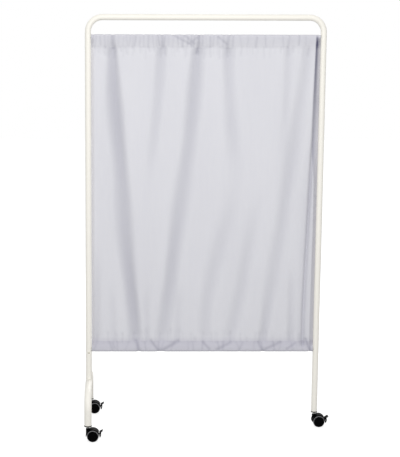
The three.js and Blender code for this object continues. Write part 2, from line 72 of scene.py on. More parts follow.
# Steps round large, middling, small and very small round shapes
LARGE_SIDES, MIDDLE_SIDES, SMALL_SIDES, PIN_SIDES = 96, 48, 40, 32

Array = np.ndarray

# Two numbers that belong together, such as both ends of a range
Pair = tuple[float, float]


# Colour and shader nodes


def linear(hex_code: str) -> tuple[float, float, float, float]:
    """Turns an sRGB hex colour into the linear colour that a shader takes.

    Args:
        hex_code: six hex digits.

    Returns:
        Linear red, green and blue, and an alpha of 1.
    """
    srgb = np.array([int(hex_code[i : i + 2], 16) for i in (0, 2, 4)]) / 255
    value = np.where(srgb <= 0.04045, srgb / 12.92, ((srgb + 0.055) / 1.055) ** 2.4)
    return (*(float(v) for v in value), 1.0)


class Tree:
    """The node tree of one material or of the world."""

    def __init__(self, owner: bpy.types.ID) -> None:
        """Clears the owner's node tree.

        Args:
            owner: the material or the world.
        """
        owner.use_nodes = True
        self.nodes = owner.node_tree.nodes
        self.links = owner.node_tree.links
        self.nodes.clear()

    def add(self, kind: str, inputs: dict | None = None, **settings: object) -> bpy.types.Node:
        """Adds a node with its settings and links.

        Args:
            kind: the node's type name.
            inputs: values or output sockets for its inputs, by name or number.
            settings: the node's own settings.

        Returns:
            The new node.
        """
        node = self.nodes.new(kind)
        for name, value in settings.items():
            setattr(node, name, value)
        for key, value in (inputs or {}).items():
            if isinstance(value, bpy.types.NodeSocket):
                self.links.new(value, node.inputs[key])
            else:
                node.inputs[key].default_value = value
        return node


# Numbers of the colour sockets of a Mix node
MIX_A, MIX_B, MIX_RESULT = 6, 7, 2


@dataclass(frozen=True)
class Finish:
    """A hard finish in one colour that varies slightly, with a fine relief.

    Patches are soft changes of tone and gloss a few centimetres wide. Grain is the fine relief of the surface.
    """

    name: str
    colour: str
    patch_colour: str
    roughness: Pair
    patch_size: float
    grain_size: float
    grain_height: float
    metallic: float = 0.0
    specular: float = 0.5
    ior: float = 1.5
    stretch: tuple[float, float, float] = (1.0, 1.0, 1.0)

    def material(self) -> bpy.types.Material:
        """Makes the material, or finds the one made before.

        Returns:
            The material. Its patches mix both colours and both ends of its roughness.
        """
        made = bpy.data.materials.get(self.name)
        if made:
            return made
        made = bpy.data.materials.new(self.name)
        tree = Tree(made)
        place = tree.add("ShaderNodeTexCoord").outputs["Object"]
        along = tree.add("ShaderNodeMapping", {"Vector": place, "Scale": self.stretch}).outputs[0]
        patches = tree.add(
            "ShaderNodeTexNoise", {"Vector": along, "Scale": 1 / (self.patch_size * MM), "Detail": 3.0}
        ).outputs[0]
        grain = tree.add(
            "ShaderNodeTexNoise", {"Vector": along, "Scale": 1 / (self.grain_size * MM), "Detail": 2.0}
        ).outputs[0]
        colours = {"Factor": patches, MIX_A: linear(self.colour), MIX_B: linear(self.patch_colour)}
        colour = tree.add("ShaderNodeMix", colours, data_type="RGBA").outputs[MIX_RESULT]
        low, high = self.roughness
        gloss = tree.add("ShaderNodeMapRange", {"Value": patches, "To Min": low, "To Max": high}).outputs[0]
        relief = tree.add("ShaderNodeBump", {"Distance": self.grain_height * MM, "Height": grain}).outputs[0]
        shader = tree.add(
            "ShaderNodeBsdfPrincipled",
            {
                "Base Color": colour,
                "Metallic": self.metallic,
                "Roughness": gloss,
                "Specular IOR Level": self.specular,
                "Normal": relief,
            },
        )
        if not self.metallic:
            shader.inputs["IOR"].default_value = self.ior
        tree.add("ShaderNodeOutputMaterial", {"Surface": shader.outputs[0]})
        return made


# Polyester powder coat sprayed on steel tube: an even satin ivory with a faint orange-peel relief
POWDER_COAT = Finish(
    name="polyester_powder_coat_sprayed_ivory",
    colour="F8F5ED",
    patch_colour="F5F2E9",
    roughness=(0.52, 0.6),
    patch_size=90,
    grain_size=2.0,  # real orange peel is about 1 mm across and is drawn twice as coarse
    grain_height=0.03,
)

# Bright zinc plate on mild steel: pale, slightly streaky along the turned length
ZINC = Finish(
    name="zinc_plated_steel_turned",
    colour="B9BBB8",
    patch_colour="A6A9A6",
    roughness=(0.28, 0.42),
    patch_size=12,
    grain_size=1.0,
    grain_height=0.01,
    metallic=1.0,
)

# Dull nickel plate on a steel screw: a small grey dot, hardly darker than the ivory post
SCREW_STEEL = Finish(
    name="steel_screw_nickel_plated",
    colour="CFCBC0",
    patch_colour="BDB9AE",
    roughness=(0.4, 0.6),
    patch_size=3,
    grain_size=0.6,
    grain_height=0.01,
    metallic=1.0,
)

# Polyamide 6 moulded with a fine spark texture: deep black that hardly shines
BLACK_NYLON = Finish(
    name="polyamide_moulded_black_textured",
    colour="050506",
    patch_colour="030304",
    roughness=(0.42, 0.55),
    patch_size=18,
    grain_size=0.8,  # real spark texture is about 0.2 mm and is drawn coarser
    grain_height=0.02,
    specular=0.015,
    ior=1.53,
)

# Thermoplastic rubber tyre moulded on the wheel: dark grey and satin, seen as a grey arc behind the black face. Its
# grey is a painted highlight, for the light that the wheel's glossy shoulder reflects
TYRE = Finish(
    name="rubber_tyre_grey_painted_highlight",
    colour="7E7E80",
    patch_colour="707072",
    roughness=(0.45, 0.58),
    patch_size=9,
    grain_size=1.5,
    grain_height=0.02,
    specular=0.3,
    ior=1.5,
)

# Polyethylene plug, moulded dark: its flange is a dull olive-brown ring under the ivory tube
PLUG_PLASTIC = Finish(
    name="polyethylene_plug_moulded_dark",
    colour="3A372F",
    patch_colour="2C2A24",
    roughness=(0.5, 0.6),
    patch_size=8,
    grain_size=0.8,
    grain_height=0.02,
    specular=0.3,
    ior=1.51,
)

# Polyester sewing thread: slightly brighter and shinier than the cloth it lies in
THREAD = Finish(
    name="polyester_thread_spun",
    colour="D8D7DE",
    patch_colour="C9C8D2",
    roughness=(0.5, 0.6),
    patch_size=4,
    grain_size=0.5,
    grain_height=0.02,
)


@dataclass(frozen=True)
class WovenCloth:
    """Plain-woven polyester and cotton sheeting, dyed pale lilac-grey.

    The eye gets a soft matt surface and a little sheen where it turns away. Its colour holds painted shade where it
    lies in two layers and in its folds, creases and edges, for the shade that falls there and the light that shines
    through it less.
    Slubs are the slightly thicker stretches of yarn.
    Real threads are 0.4 mm apart and are drawn 2.6 mm apart, because finer ones would not show.
    """

    name: str = "polycotton_sheeting_plain_woven"
    colour: str = "E0E0E5"
    shade_colour: str = "DCDCE2"
    # Painted shade: the colour where the cloth lies in two layers, and where its folds, creases and edges are darkest
    painted_hem_shade_colour: str = "C6C5CF"
    painted_fold_shade_colour: str = "595975"
    thread_pitch: float = 2.6
    thread_height: float = 0.09
    thread_sway: Pair = (0.6, 0.05)
    slub_size: float = 14.0
    slub_stretch: float = 0.12
    roughness: Pair = (0.82, 0.92)
    specular: float = 0.25
    sheen: float = 0.12
    sheen_roughness: float = 0.5

    def material(self, cut_width: float, cut_length: float) -> bpy.types.Material:
        """Makes the material. A Wave node at scale 1 repeats every pi / 10, from which its scale is worked out.

        Args:
            cut_width: width of the cloth along U, in millimetres.
            cut_length: length of the cloth along V, in millimetres.

        Returns:
            The material. It reads the cloth's UV map and two attributes, both from 0 to 1: the painted shade of the
            hems and the painted shade of the folds, creases and edges.
        """
        made = bpy.data.materials.new(self.name)
        tree = Tree(made)
        uv = tree.add("ShaderNodeTexCoord").outputs["UV"]
        flat = tree.add("ShaderNodeMapping", {"Vector": uv, "Scale": (cut_width, cut_length, 1.0)}).outputs[0]
        sway, sway_scale = self.thread_sway
        wave = {
            "Vector": flat,
            "Scale": math.pi / 10 / self.thread_pitch,
            "Distortion": sway,
            "Detail Scale": sway_scale,
        }
        threads = [tree.add("ShaderNodeTexWave", wave, bands_direction=way).outputs["Fac"] for way in ("X", "Y")]
        weave = tree.add("ShaderNodeMath", {0: threads[0], 1: threads[1]}, operation="ADD").outputs[0]
        long_slubs = tree.add("ShaderNodeMapping", {"Vector": flat, "Scale": (1.0, self.slub_stretch, 1.0)}).outputs[0]
        slubs = tree.add(
            "ShaderNodeTexNoise", {"Vector": long_slubs, "Scale": 1 / self.slub_size, "Detail": 4.0}
        ).outputs[0]
        tones = {"Factor": slubs, MIX_A: linear(self.colour), MIX_B: linear(self.shade_colour)}
        single = tree.add("ShaderNodeMix", tones, data_type="RGBA").outputs[MIX_RESULT]
        # Painted shade: darker where the cloth lies in two layers and in its folds, creases and edges
        painted_hem_shade = tree.add("ShaderNodeAttribute", attribute_name="painted_hem_shade").outputs["Fac"]
        layers = {"Factor": painted_hem_shade, MIX_A: single, MIX_B: linear(self.painted_hem_shade_colour)}
        with_painted_hem_shade = tree.add("ShaderNodeMix", layers, data_type="RGBA").outputs[MIX_RESULT]
        painted_fold_shade = tree.add("ShaderNodeAttribute", attribute_name="painted_fold_shade").outputs["Fac"]
        folds = {"Factor": painted_fold_shade, MIX_A: with_painted_hem_shade, MIX_B: linear(self.painted_fold_shade_colour)}
        colour = tree.add("ShaderNodeMix", folds, data_type="RGBA").outputs[MIX_RESULT]
        low, high = self.roughness
        gloss = tree.add("ShaderNodeMapRange", {"Value": slubs, "To Min": low, "To Max": high}).outputs[0]
        relief = tree.add("ShaderNodeBump", {"Distance": self.thread_height * MM, "Height": weave}).outputs[0]
        shader = tree.add(
            "ShaderNodeBsdfPrincipled",
            {
                "Base Color": colour,
                "Roughness": gloss,
                "Specular IOR Level": self.specular,
                "Sheen Weight": self.sheen,
                "Sheen Roughness": self.sheen_roughness,
                "Normal": relief,
            },
        )
        tree.add("ShaderNodeOutputMaterial", {"Surface": shader.outputs[0]})
        return made


# Grids of points and the meshes made from them


@dataclass(frozen=True)
class Grid:
    """Points over two parameters, rows by columns by 3, and how the grid's edges meet."""

    points: Array
    rows_meet: bool = False
    columns_meet: bool = True
    capped: bool = False


def grid_faces(grid: Grid, first: int) -> list[list[int]]:
    """Corner numbers of a grid's faces.

    Args:
        grid: the grid.
        first: the number of its first point in the mesh.

    Returns:
        One quad between each four neighbours, and one face on each end row of a capped grid.
    """
    rows, columns = grid.points.shape[:2]
    number = first + np.arange(rows * columns).reshape(rows, columns)
    wrapped = np.vstack([number, number[:1]]) if grid.rows_meet else number
    wrapped = np.hstack([wrapped, wrapped[:, :1]]) if grid.columns_meet else wrapped
    corners = (wrapped[:-1, :-1], wrapped[:-1, 1:], wrapped[1:, 1:], wrapped[1:, :-1])
    faces = np.stack(corners, axis=-1).reshape(-1, 4).tolist()
    if grid.capped:
        faces += [number[0, ::-1].tolist(), number[-1].tolist()]
    return faces


def mesh_of(name: str, *grids: Grid, crease: float = SHARP_FROM) -> bpy.types.Mesh:
    """Makes one mesh from grids, with poles closed and faces outward.

    Args:
        name: the mesh's name.
        grids: the grids, each a closed shell of its own.
        crease: faces that meet at more than this many degrees keep a sharp edge.

    Returns:
        The mesh, in millimetres.
    """
    faces, count = [], 0
    for grid in grids:
        faces += grid_faces(grid, count)
        count += grid.points.shape[0] * grid.points.shape[1]
    points = np.concatenate([grid.points.reshape(-1, 3) for grid in grids])
    mesh = bpy.data.meshes.new(name)
    mesh.from_pydata(points.tolist(), [], faces)
    work = bmesh.new()
    work.from_mesh(mesh)
    bmesh.ops.remove_doubles(work, verts=work.verts, dist=MERGE_DISTANCE)
    bmesh.ops.recalc_face_normals(work, faces=work.faces)
    work.to_mesh(mesh)
    work.free()
    return smoothed(mesh, crease)


def smoothed(mesh: bpy.types.Mesh, crease: float) -> bpy.types.Mesh:
    """Shades a mesh smooth, apart from its sharp edges.

    Args:
        mesh: the mesh.
        crease: faces that meet at more than this many degrees keep a sharp edge.

    Returns:
        The same mesh.
    """
    mesh.shade_smooth()
    mesh.set_sharp_from_angle(angle=math.radians(crease))
    return mesh


class Join(Enum):
    """How one closed mesh changes another."""

    ADD = "UNION"
    CUT = "DIFFERENCE"


def combined(base: bpy.types.Mesh, *steps: tuple[Join, bpy.types.Mesh], crease: float = SHARP_FROM) -> bpy.types.Mesh:
    """Adds closed meshes to a base or cuts them from it, in order.

    Args:
        base: the closed mesh to start from.
        steps: pairs of how and with what.
        crease: faces that meet at more than this many degrees keep a sharp edge.

    Returns:
        The base's new mesh.
    """
    link = bpy.context.scene.collection.objects.link
    body = bpy.data.objects.new("work", base)
    link(body)
    for how, mesh in steps:
        tool = bpy.data.objects.new("tool", mesh)
        link(tool)
        change = body.modifiers.new("change", "BOOLEAN")
        change.operation = how.value
        change.solver = "MANIFOLD"
        change.object = tool
        view = bpy.context.evaluated_depsgraph_get()
        body.data = bpy.data.meshes.new_from_object(body.evaluated_get(view))
        body.modifiers.clear()
        bpy.data.objects.remove(tool)
    result = body.data
    result.name = base.name
    bpy.data.objects.remove(body)
    return smoothed(result, crease)


def moved(mesh: bpy.types.Mesh, x: float = 0, y: float = 0, z: float = 0) -> bpy.types.Mesh:
    """Shifts a mesh's points by a distance in millimetres."""
    mesh.transform(Matrix.Translation(Vector((x, y, z))))
    return mesh


def arc(radius: float, start: float, end: float, steps: int) -> Array:
    """Points on a circle about the origin, from start to end degrees, as rows of two."""
    angle = np.radians(np.linspace(start, end, steps))
    return radius * np.stack([np.cos(angle), np.sin(angle)], axis=-1)


def rounded(outline: Array, cut: float, closed: bool, steps: int = 4) -> Array:
    """Rounds the corners of a line of points.

    Each corner c between neighbours a and b becomes the curve (1-t)^2 p + 2t(1-t) c + t^2 q, where p and q lie on the
    lines to a and b, one cut away from c or halfway to the neighbour where that is nearer.

    Args:
        outline: the corners, in rows of two.
        cut: distance from a corner to the start of its rounding.
        closed: whether the last corner joins the first. If not, both ends stay as they are.
        steps: points on each rounding, less one.

    Returns:
        The rounded line's points, in rows of two.
    """
    before, after = np.roll(outline, 1, axis=0), np.roll(outline, -1, axis=0)
    t = np.linspace(0, 1, steps + 1)[None, :, None]

    def towards(other: Array) -> Array:
        """Points one cut away from each corner, or halfway where that is nearer.

        Args:
            other: for each corner, the point to go towards.

        Returns:
            The points.
        """
        way = other - outline
        length = np.linalg.norm(way, axis=1, keepdims=True) + TINY
        return outline + way / length * np.minimum(cut, length / 2)

    p, q = towards(before)[:, None], towards(after)[:, None]
    curve = (1 - t) ** 2 * p + 2 * t * (1 - t) * outline[:, None] + t**2 * q
    if closed:
        return curve.reshape(-1, 2)
    return np.concatenate([outline[:1], curve[1:-1].reshape(-1, 2), outline[-1:]])


class Axis(Enum):
    """Line that a profile is turned about. X, Y and Z of a point are these of its three parts, of which 2 is height."""

    X = (2, 0, 1)
    Y = (0, 2, 1)
    Z = (0, 1, 2)


def turned(profile: Array, axis: Axis, sides: int = 64, ring: bool = False) -> Grid:
    """Turns a profile about an axis.

    A profile point of radius r and height h goes to r cos a and r sin a across the axis and h along it.

    Args:
        profile: radius and height, in rows of two.
        axis: the line to turn about.
        sides: steps round the axis.
        ring: whether the profile is closed. If not, it starts and ends on the axis.

    Returns:
        The grid.
    """
    angle = np.arange(sides) * 2 * np.pi / sides
    radius, height = profile[:, :1], profile[:, 1:]
    parts = (radius * np.cos(angle), radius * np.sin(angle), np.broadcast_to(height, (len(profile), sides)))
    return Grid(np.stack([parts[i] for i in axis.value], axis=-1), rows_meet=ring)


def rod(diameter: float, start: float, end: float, axis: Axis, edge: float = 0.3, sides: int = MIDDLE_SIDES) -> Grid:
    """A solid round rod from start to end along an axis, with its edges rounded."""
    corners = np.array([[0, start], [diameter / 2, start], [diameter / 2, end], [0, end]], dtype=float)
    return turned(rounded(corners, edge, closed=False), axis, sides)


def plate(outline: Array, width: float, rim: float, steps: int = 3) -> Grid:
    """A plate whose outline lies in X and Z, with rounded rims.

    At an angle a up the rim, from 0 to 90 degrees, the outline is drawn in by rim (1 - cos a) and stands at half the
    width less rim (1 - sin a).

    Args:
        outline: X and Z of its corners, in rows of two.
        width: size along Y, centred on Y = 0.
        rim: radius of the rounding.
        steps: steps round each rim.

    Returns:
        The grid, capped at both ends.
    """
    x, z = outline[:, 0], outline[:, 1]
    area = np.sum(x * np.roll(z, -1) - np.roll(x, -1) * z)
    along = (np.roll(outline, -1, axis=0) - np.roll(outline, 1, axis=0)) * np.sign(area)
    along /= np.linalg.norm(along, axis=1, keepdims=True) + TINY
    outward = np.stack([along[:, 1], -along[:, 0]], axis=-1)
    angle = np.linspace(0, np.pi / 2, steps + 1)
    inset = rim * (1 - np.cos(angle))
    level = width / 2 - rim * (1 - np.sin(angle))
    inset = np.concatenate([inset[::-1], inset])[:, None, None]
    level = np.concatenate([-level[::-1], level])
    flat = outline[None] - inset * outward[None]
    y = np.broadcast_to(level[:, None], flat.shape[:2])
    return Grid(np.stack([flat[..., 0], y, flat[..., 1]], axis=-1), capped=True)


def bent_line(corners: Array, radius: float, steps: int = 20) -> tuple[Array, Array]:
    """Centre line through corner points, with each inner corner turned on an arc.

    With u the way in, v the unit normal towards the way out and c the arc's centre, an angle a along the arc is at
    c - radius v cos a + radius u sin a, and its tangent is u cos a + v sin a.

    Args:
        corners: the corner points, in rows of three.
        radius: radius of the arcs.
        steps: points on each arc.

    Returns:
        The line's points and their unit tangents.
    """
    way = np.diff(corners, axis=0)
    way /= np.linalg.norm(way, axis=1, keepdims=True)
    into, away = way[:-1], way[1:]
    turn = np.arccos(np.clip(np.sum(into * away, axis=1, keepdims=True), -1, 1))
    inward = away - into * np.sum(into * away, axis=1, keepdims=True)
    inward /= np.linalg.norm(inward, axis=1, keepdims=True)
    start = corners[1:-1] - into * radius * np.tan(turn / 2)
    angle = turn[:, None] * np.linspace(0, 1, steps)[None, :, None]
    into, inward = into[:, None], inward[:, None]
    centre = start[:, None] + inward * radius
    points = centre + radius * (into * np.sin(angle) - inward * np.cos(angle))
    tangents = into * np.cos(angle) + inward * np.sin(angle)
    return (
        np.concatenate([corners[:1], points.reshape(-1, 3), corners[-1:]]),
        np.concatenate([way[:1], tangents.reshape(-1, 3), way[-1:]]),
    )


def tube(line: Array, tangents: Array, flat_normal: Array, outer: float, inner: float, sides: int = 56) -> Array:
    """Carries a round section with a bore along a line that lies in one plane.

    A point at angle a on the section is the line's point plus radius (s cos a + n sin a), where n is the plane's
    normal and s is square to n and to the tangent. The outer wall's rows come first, then the bore's rows backwards.

    Args:
        line: points of the centre line.
        tangents: their unit tangents.
        flat_normal: unit normal of the plane.
        outer: outside diameter.
        inner: bore's diameter.
        sides: steps round the section.

    Returns:
        Points, rows by columns by 3. The last row joins the first.
    """
    angle = np.arange(sides) * 2 * np.pi / sides
    side = np.cross(flat_normal, tangents)
    arm = side[:, None] * np.cos(angle)[None, :, None] + flat_normal * np.sin(angle)[None, :, None]
    return np.concatenate([line[:, None] + arm * outer / 2, (line[:, None] + arm * inner / 2)[::-1]])


def dress(
    name: str, mesh: bpy.types.Mesh, body: str, slot: str, material: bpy.types.Material, *nodes: str
) -> bpy.types.Object:
    """Puts a finished mesh into the scene as a piece.

    Args:
        name: the piece's name.
        mesh: its mesh, in place and in millimetres.
        body: the body that it moves with.
        slot: the record's material slot, which is not used.
        material: its material.
        nodes: the CAD nodes that it stands for.

    Returns:
        The piece.
    """
    mesh.transform(Matrix.Scale(MM, 4))
    piece = bpy.data.objects.new(name, mesh)
    bpy.context.scene.collection.objects.link(piece)
    mesh.materials.clear()
    mesh.materials.append(material)
    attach(piece, body)
    if nodes:
        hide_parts(*nodes)
    log.info("%s: %d faces on %s", name, len(mesh.polygons), body)
    return piece


def centre_of(node: str) -> Vector:
    """Middle of a CAD node's box, in millimetres."""
    low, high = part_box(node)
    return (low + high) / 2 / MM


# Frame


@dataclass(frozen=True)
class TubeFrame:
    """The bent tube that is both posts and the bar, and the foot under its left post.

    Tubes, rods and the screw are given by their diameters, and the socket by its width across flats. Dome angles are
    radians.
    """

    middle_x: float
    width: float = 1000
    height: float = 1760
    tube: float = 25
    tube_wall: float = 1.5
    corner_radius: float = 60
    foot_spread: float = 420
    foot_crown: float = 212
    foot_tube: float = 30
    foot_wall: float = 2
    foot_radius: float = 70
    bend_steps: int = 28
    spigot_rise: float = 145
    spigot_wall: float = 2
    spigot_edge: float = 0.4
    seat_gap: float = 0.3
    leg_bottom: float = 68.3
    rod: float = 10
    rod_wall: float = 1
    rod_seat: float = 3
    rod_edge: float = 0.3
    rod_heights: Pair = (1669.655, 341.345)
    screw_height: float = 330
    screw: float = 5
    screw_length: float = 12
    screw_head: float = 9
    screw_head_rise: float = 2.4
    dome_angles: Pair = (0.35, 1.5)
    dome_steps: int = 8
    socket: float = 3
    socket_depth: float = 1.2
    cut_past: float = 1

    @property
    def leg(self) -> float:
        """Distance from the middle to a post's centre line."""
        return (self.width - self.tube) / 2

    @property
    def inner_face(self) -> float:
        """Distance from the middle to a post's inner face."""
        return self.leg - self.tube / 2

    @property
    def crown_line(self) -> float:
        """Height of the foot's centre line at its crown."""
        return self.foot_crown - self.foot_tube / 2

    def rod_hole(self, side: int, z: float) -> bpy.types.Mesh:
        """Cutter for the hole that takes a rod's end, in the left post for side -1 and in the right one for 1."""
        drill = rod(self.rod + 2 * self.seat_gap, -self.tube / 2, self.tube / 2, Axis.X)
        return moved(mesh_of("hole", drill), x=side * self.inner_face, z=z)

    def screw_hole(self) -> bpy.types.Mesh:
        """Cutter for the screw's hole, from the front to the tube's middle."""
        drill = rod(self.screw + 2 * self.seat_gap, -self.tube, 0, Axis.Y)
        return moved(mesh_of("drill", drill), x=-self.leg, z=self.screw_height)

    def frame_mesh(self) -> bpy.types.Mesh:
        """The bent tube. Its left end is a saddle: each point there drops onto the foot's round crown.

        With s the crown's radius plus the gap and d a point's distance across from the post's centre line, the point's
        height is the crown's centre line plus the root of (s^2 - d^2).

        Returns:
            The mesh, with holes for the rods and the screw.
        """
        leg, bar = self.leg, self.height - self.tube / 2
        corners = np.array([[-leg, 0, self.crown_line], [-leg, 0, bar], [leg, 0, bar], [leg, 0, self.leg_bottom]])
        line, tangents = bent_line(corners, self.corner_radius, self.bend_steps)
        points = tube(line, tangents, np.array([0.0, 1.0, 0.0]), self.tube, self.tube - 2 * self.tube_wall)
        saddle = self.foot_tube / 2 + self.seat_gap
        for end in (points[0], points[-1]):
            end[:, 2] = self.crown_line + np.sqrt(saddle**2 - (end[:, 0] + leg) ** 2)
        holes = [(Join.CUT, self.rod_hole(side, z)) for side in (-1, 1) for z in self.rod_heights]
        return combined(mesh_of("frame_tube", Grid(points, rows_meet=True)), (Join.CUT, self.screw_hole()), *holes)

    def foot_mesh(self) -> bpy.types.Mesh:
        """The arch, and the spigot that stands on its crown inside the left post.

        Returns:
            The mesh, with holes for the screw and the lower rod.
        """
        leg, half, low, crown = self.leg, self.foot_spread / 2, self.leg_bottom, self.crown_line
        corners = np.array([[-leg, -half, low], [-leg, -half, crown], [-leg, half, crown], [-leg, half, low]])
        line, tangents = bent_line(corners, self.foot_radius, self.bend_steps)
        bore = self.foot_tube - 2 * self.foot_wall
        points = tube(line, tangents, np.array([1.0, 0.0, 0.0]), self.foot_tube, bore)
        arch = mesh_of("foot_arch", Grid(points, rows_meet=True))
        outer = self.tube / 2 - self.tube_wall - self.seat_gap
        inner = outer - self.spigot_wall
        root, top = self.foot_crown - self.foot_wall / 2, self.foot_crown + self.spigot_rise
        section = np.array([[outer, root], [inner, root], [inner, top], [outer, top]])
        spigot = turned(rounded(section, self.spigot_edge, closed=True), Axis.Z, ring=True)
        return combined(
            arch,
            (Join.ADD, moved(mesh_of("spigot", spigot), x=-leg)),
            (Join.CUT, self.screw_hole()),
            (Join.CUT, self.rod_hole(-1, self.rod_heights[1])),
        )

    def screw_mesh(self) -> bpy.types.Mesh:
        """The screw: a domed head with a six-sided socket, and its shank.

        At an angle a up the dome, its radius is the head's times cos a and it stands the head's rise times sin a
        above its seat.

        Returns:
            The mesh, in place.
        """
        seat = -self.tube / 2 - self.seat_gap
        tip = seat + self.screw_length
        head, shank = self.screw_head / 2, self.screw / 2
        face = seat - self.screw_head_rise
        angle = np.linspace(*self.dome_angles, self.dome_steps)
        dome = np.stack([head * np.cos(angle), seat - self.screw_head_rise * np.sin(angle)], axis=-1)
        tail = np.array([[0, tip], [shank, tip], [shank, seat], [head, seat]])
        body = mesh_of("post_screw", turned(np.concatenate([tail, dome, [[0, face]]]), Axis.Y, SMALL_SIDES))
        corner = self.socket / 2 / math.cos(math.pi / 6)
        outside, deep = face - self.cut_past, face + self.socket_depth
        key = turned(np.array([[0, outside], [corner, outside], [corner, deep], [0, deep]]), Axis.Y, 6)
        return moved(combined(body, (Join.CUT, mesh_of("key", key))), x=-self.leg, z=self.screw_height)

    def rod_mesh(self, z: float) -> bpy.types.Mesh:
        """One of the two tubes that carry the cloth, with both ends seated inside the posts.

        Args:
            z: height of its centre line.

        Returns:
            The mesh, in place.
        """
        half = self.inner_face + self.tube_wall + self.rod_seat
        outer, inner = self.rod / 2, self.rod / 2 - self.rod_wall
        section = np.array([[outer, -half], [inner, -half], [inner, half], [outer, half]])
        shell = turned(rounded(section, self.rod_edge, closed=True), Axis.X, SMALL_SIDES, ring=True)
        return moved(mesh_of("rod", shell), z=z)

    def build(self) -> None:
        """Makes and dresses the frame's hard pieces."""
        coat, zinc = POWDER_COAT.material(), ZINC.material()
        made = (
            ("frame_tube", self.frame_mesh(), "powder_coat", coat, "upper_frame"),
            ("foot_arch", self.foot_mesh(), "powder_coat", coat, "left_foot"),
            ("post_screw", self.screw_mesh(), "screw_steel", SCREW_STEEL.material(), "foot_screw"),
            ("upper_rod", self.rod_mesh(self.rod_heights[0]), "zinc_steel", zinc, "top_rod"),
            ("lower_rod", self.rod_mesh(self.rod_heights[1]), "zinc_steel", zinc, "bottom_rod"),
        )
        for name, mesh, slot, material, node in made:
            dress(name, moved(mesh, x=self.middle_x), "frame", slot, material, node)


# Castors


@dataclass(frozen=True)
class CastorSizes:
    """Sizes of one twin-wheel castor, drawn with its swivel axis at X = 0 and its wheels trailing towards +X.

    Wheel, cap, hub, neck, stem, collar, axle, pin and tongue are given by their diameters, and rim and face by their
    radii. Angles are degrees about the axle, from +X upwards. The cap's groove and dimple are shares of its radius.
    """

    wheel: float = 50
    wheel_width: float = 18
    wheel_edge: float = 0.3
    rim: float = 19
    rim_chamfer: float = 1
    face: float = 22.3
    face_depth: float = 1.6
    face_chamfer: Pair = (0.9, 0.5)
    tyre_gap: float = 0.1
    tyre_chamfer: float = 0.6
    tread_chamfer: float = 1.5
    shoulder_depth: float = 6.2
    side_gap: float = 0.8
    cap: float = 30
    cap_recess: float = 2
    cap_dome: float = 0.8
    cap_slope: float = 1.5
    cap_edge: float = 0.35
    groove: tuple[float, float, float, float] = (0.78, 0.75, 0.66, 0.63)
    groove_depth: float = 0.6
    dimple: Pair = (0.2, 0.12)
    dimple_depth: float = 0.5
    axle: float = 6
    trail: float = 20
    web: float = 8
    web_proud: float = 0.9
    web_start: float = -13
    web_overlap: float = 0.5
    web_edge: float = 0.2
    hood_width: float = 41
    hood_wall: float = 2.9
    hood_clearance: float = 1.6
    hood_end: float = 29.5
    hood_edge: float = 0.9
    hub: float = 18
    neck: float = 18
    neck_rise: float = 30.5
    neck_edge: float = 1
    bridge_width: float = 14
    bridge_drop: float = 1
    bridge_edge: float = 1.2
    stem: float = 8
    stem_seat: float = 7
    stem_reach: float = 26
    stem_chamfer: float = 1
    stem_edge: float = 0.3
    collar: float = 12
    collar_height: float = 1.5
    stem_showing: float = 7.5
    flange_height: float = 5
    flange_proud: float = 1
    sleeve: float = 28
    sleeve_chamfer: float = 1.2
    plug_edge: float = 0.8
    pedal_length: float = 20.4
    pedal_width: float = 28
    pedal_corner: float = 0.9
    pedal_edge: float = 0.5
    slot_edge: float = 0.05
    pin: float = 2.6
    tongue: float = 6
    gap: float = 0.3
    tongue_gap: float = 0.6
    guard_inset: float = 1
    socket_past: float = 5

    @property
    def radius(self) -> float:
        """The wheel's radius, which is also the axle's height."""
        return self.wheel / 2

    @property
    def well(self) -> float:
        """Radius of the space that the wheels turn in."""
        return self.radius + self.hood_clearance

    @property
    def neck_top(self) -> float:
        """Height of the top of the neck."""
        return self.radius + self.neck_rise

    @property
    def flange_bottom(self) -> float:
        """Height of the underside of the plug's flange."""
        return self.neck_top + self.stem_showing

    @property
    def inner_face(self) -> float:
        """Distance from the castor's middle plane to a wheel's inner face."""
        return self.web / 2 + self.side_gap

    @property
    def outer_face(self) -> float:
        """Distance from the castor's middle plane to a wheel's outer face."""
        return self.inner_face + self.wheel_width

    def about_axle(self, places: Array) -> Array:
        """X and Z of places that are given from the axle."""
        return places + np.array([self.trail, self.radius])

    def pedal_places(self, shares: Array) -> Array:
        """X and Z of places on the pedal: the well's radius plus a share of the pedal's length, at an angle.

        Args:
            shares: the share and the angle in degrees about the axle, in rows of two.

        Returns:
            X and Z, in rows of two.
        """
        reach = self.well + shares[:, 0] * self.pedal_length
        angle = np.radians(shares[:, 1])
        return self.about_axle(np.stack([reach * np.cos(angle), reach * np.sin(angle)], axis=-1))


# Outline of the pedal, and its pin, as shares of its length beyond the well and degrees about the axle
PEDAL_SHARES = np.array(
    [
        [0.235, 28.9], [0.97, 29.2], [1.0, 26.8], [0.466, 23.2], [0.5, 19.0], [0.446, 9.7],
        [0.363, 0.0], [0.235, -12.9], [0.16, -13.9], [0.067, -4.1], [0.03, 6.3], [0.067, 16.6],
    ]
)
PIVOT_SHARES = np.array([[0.206, 11.2]])


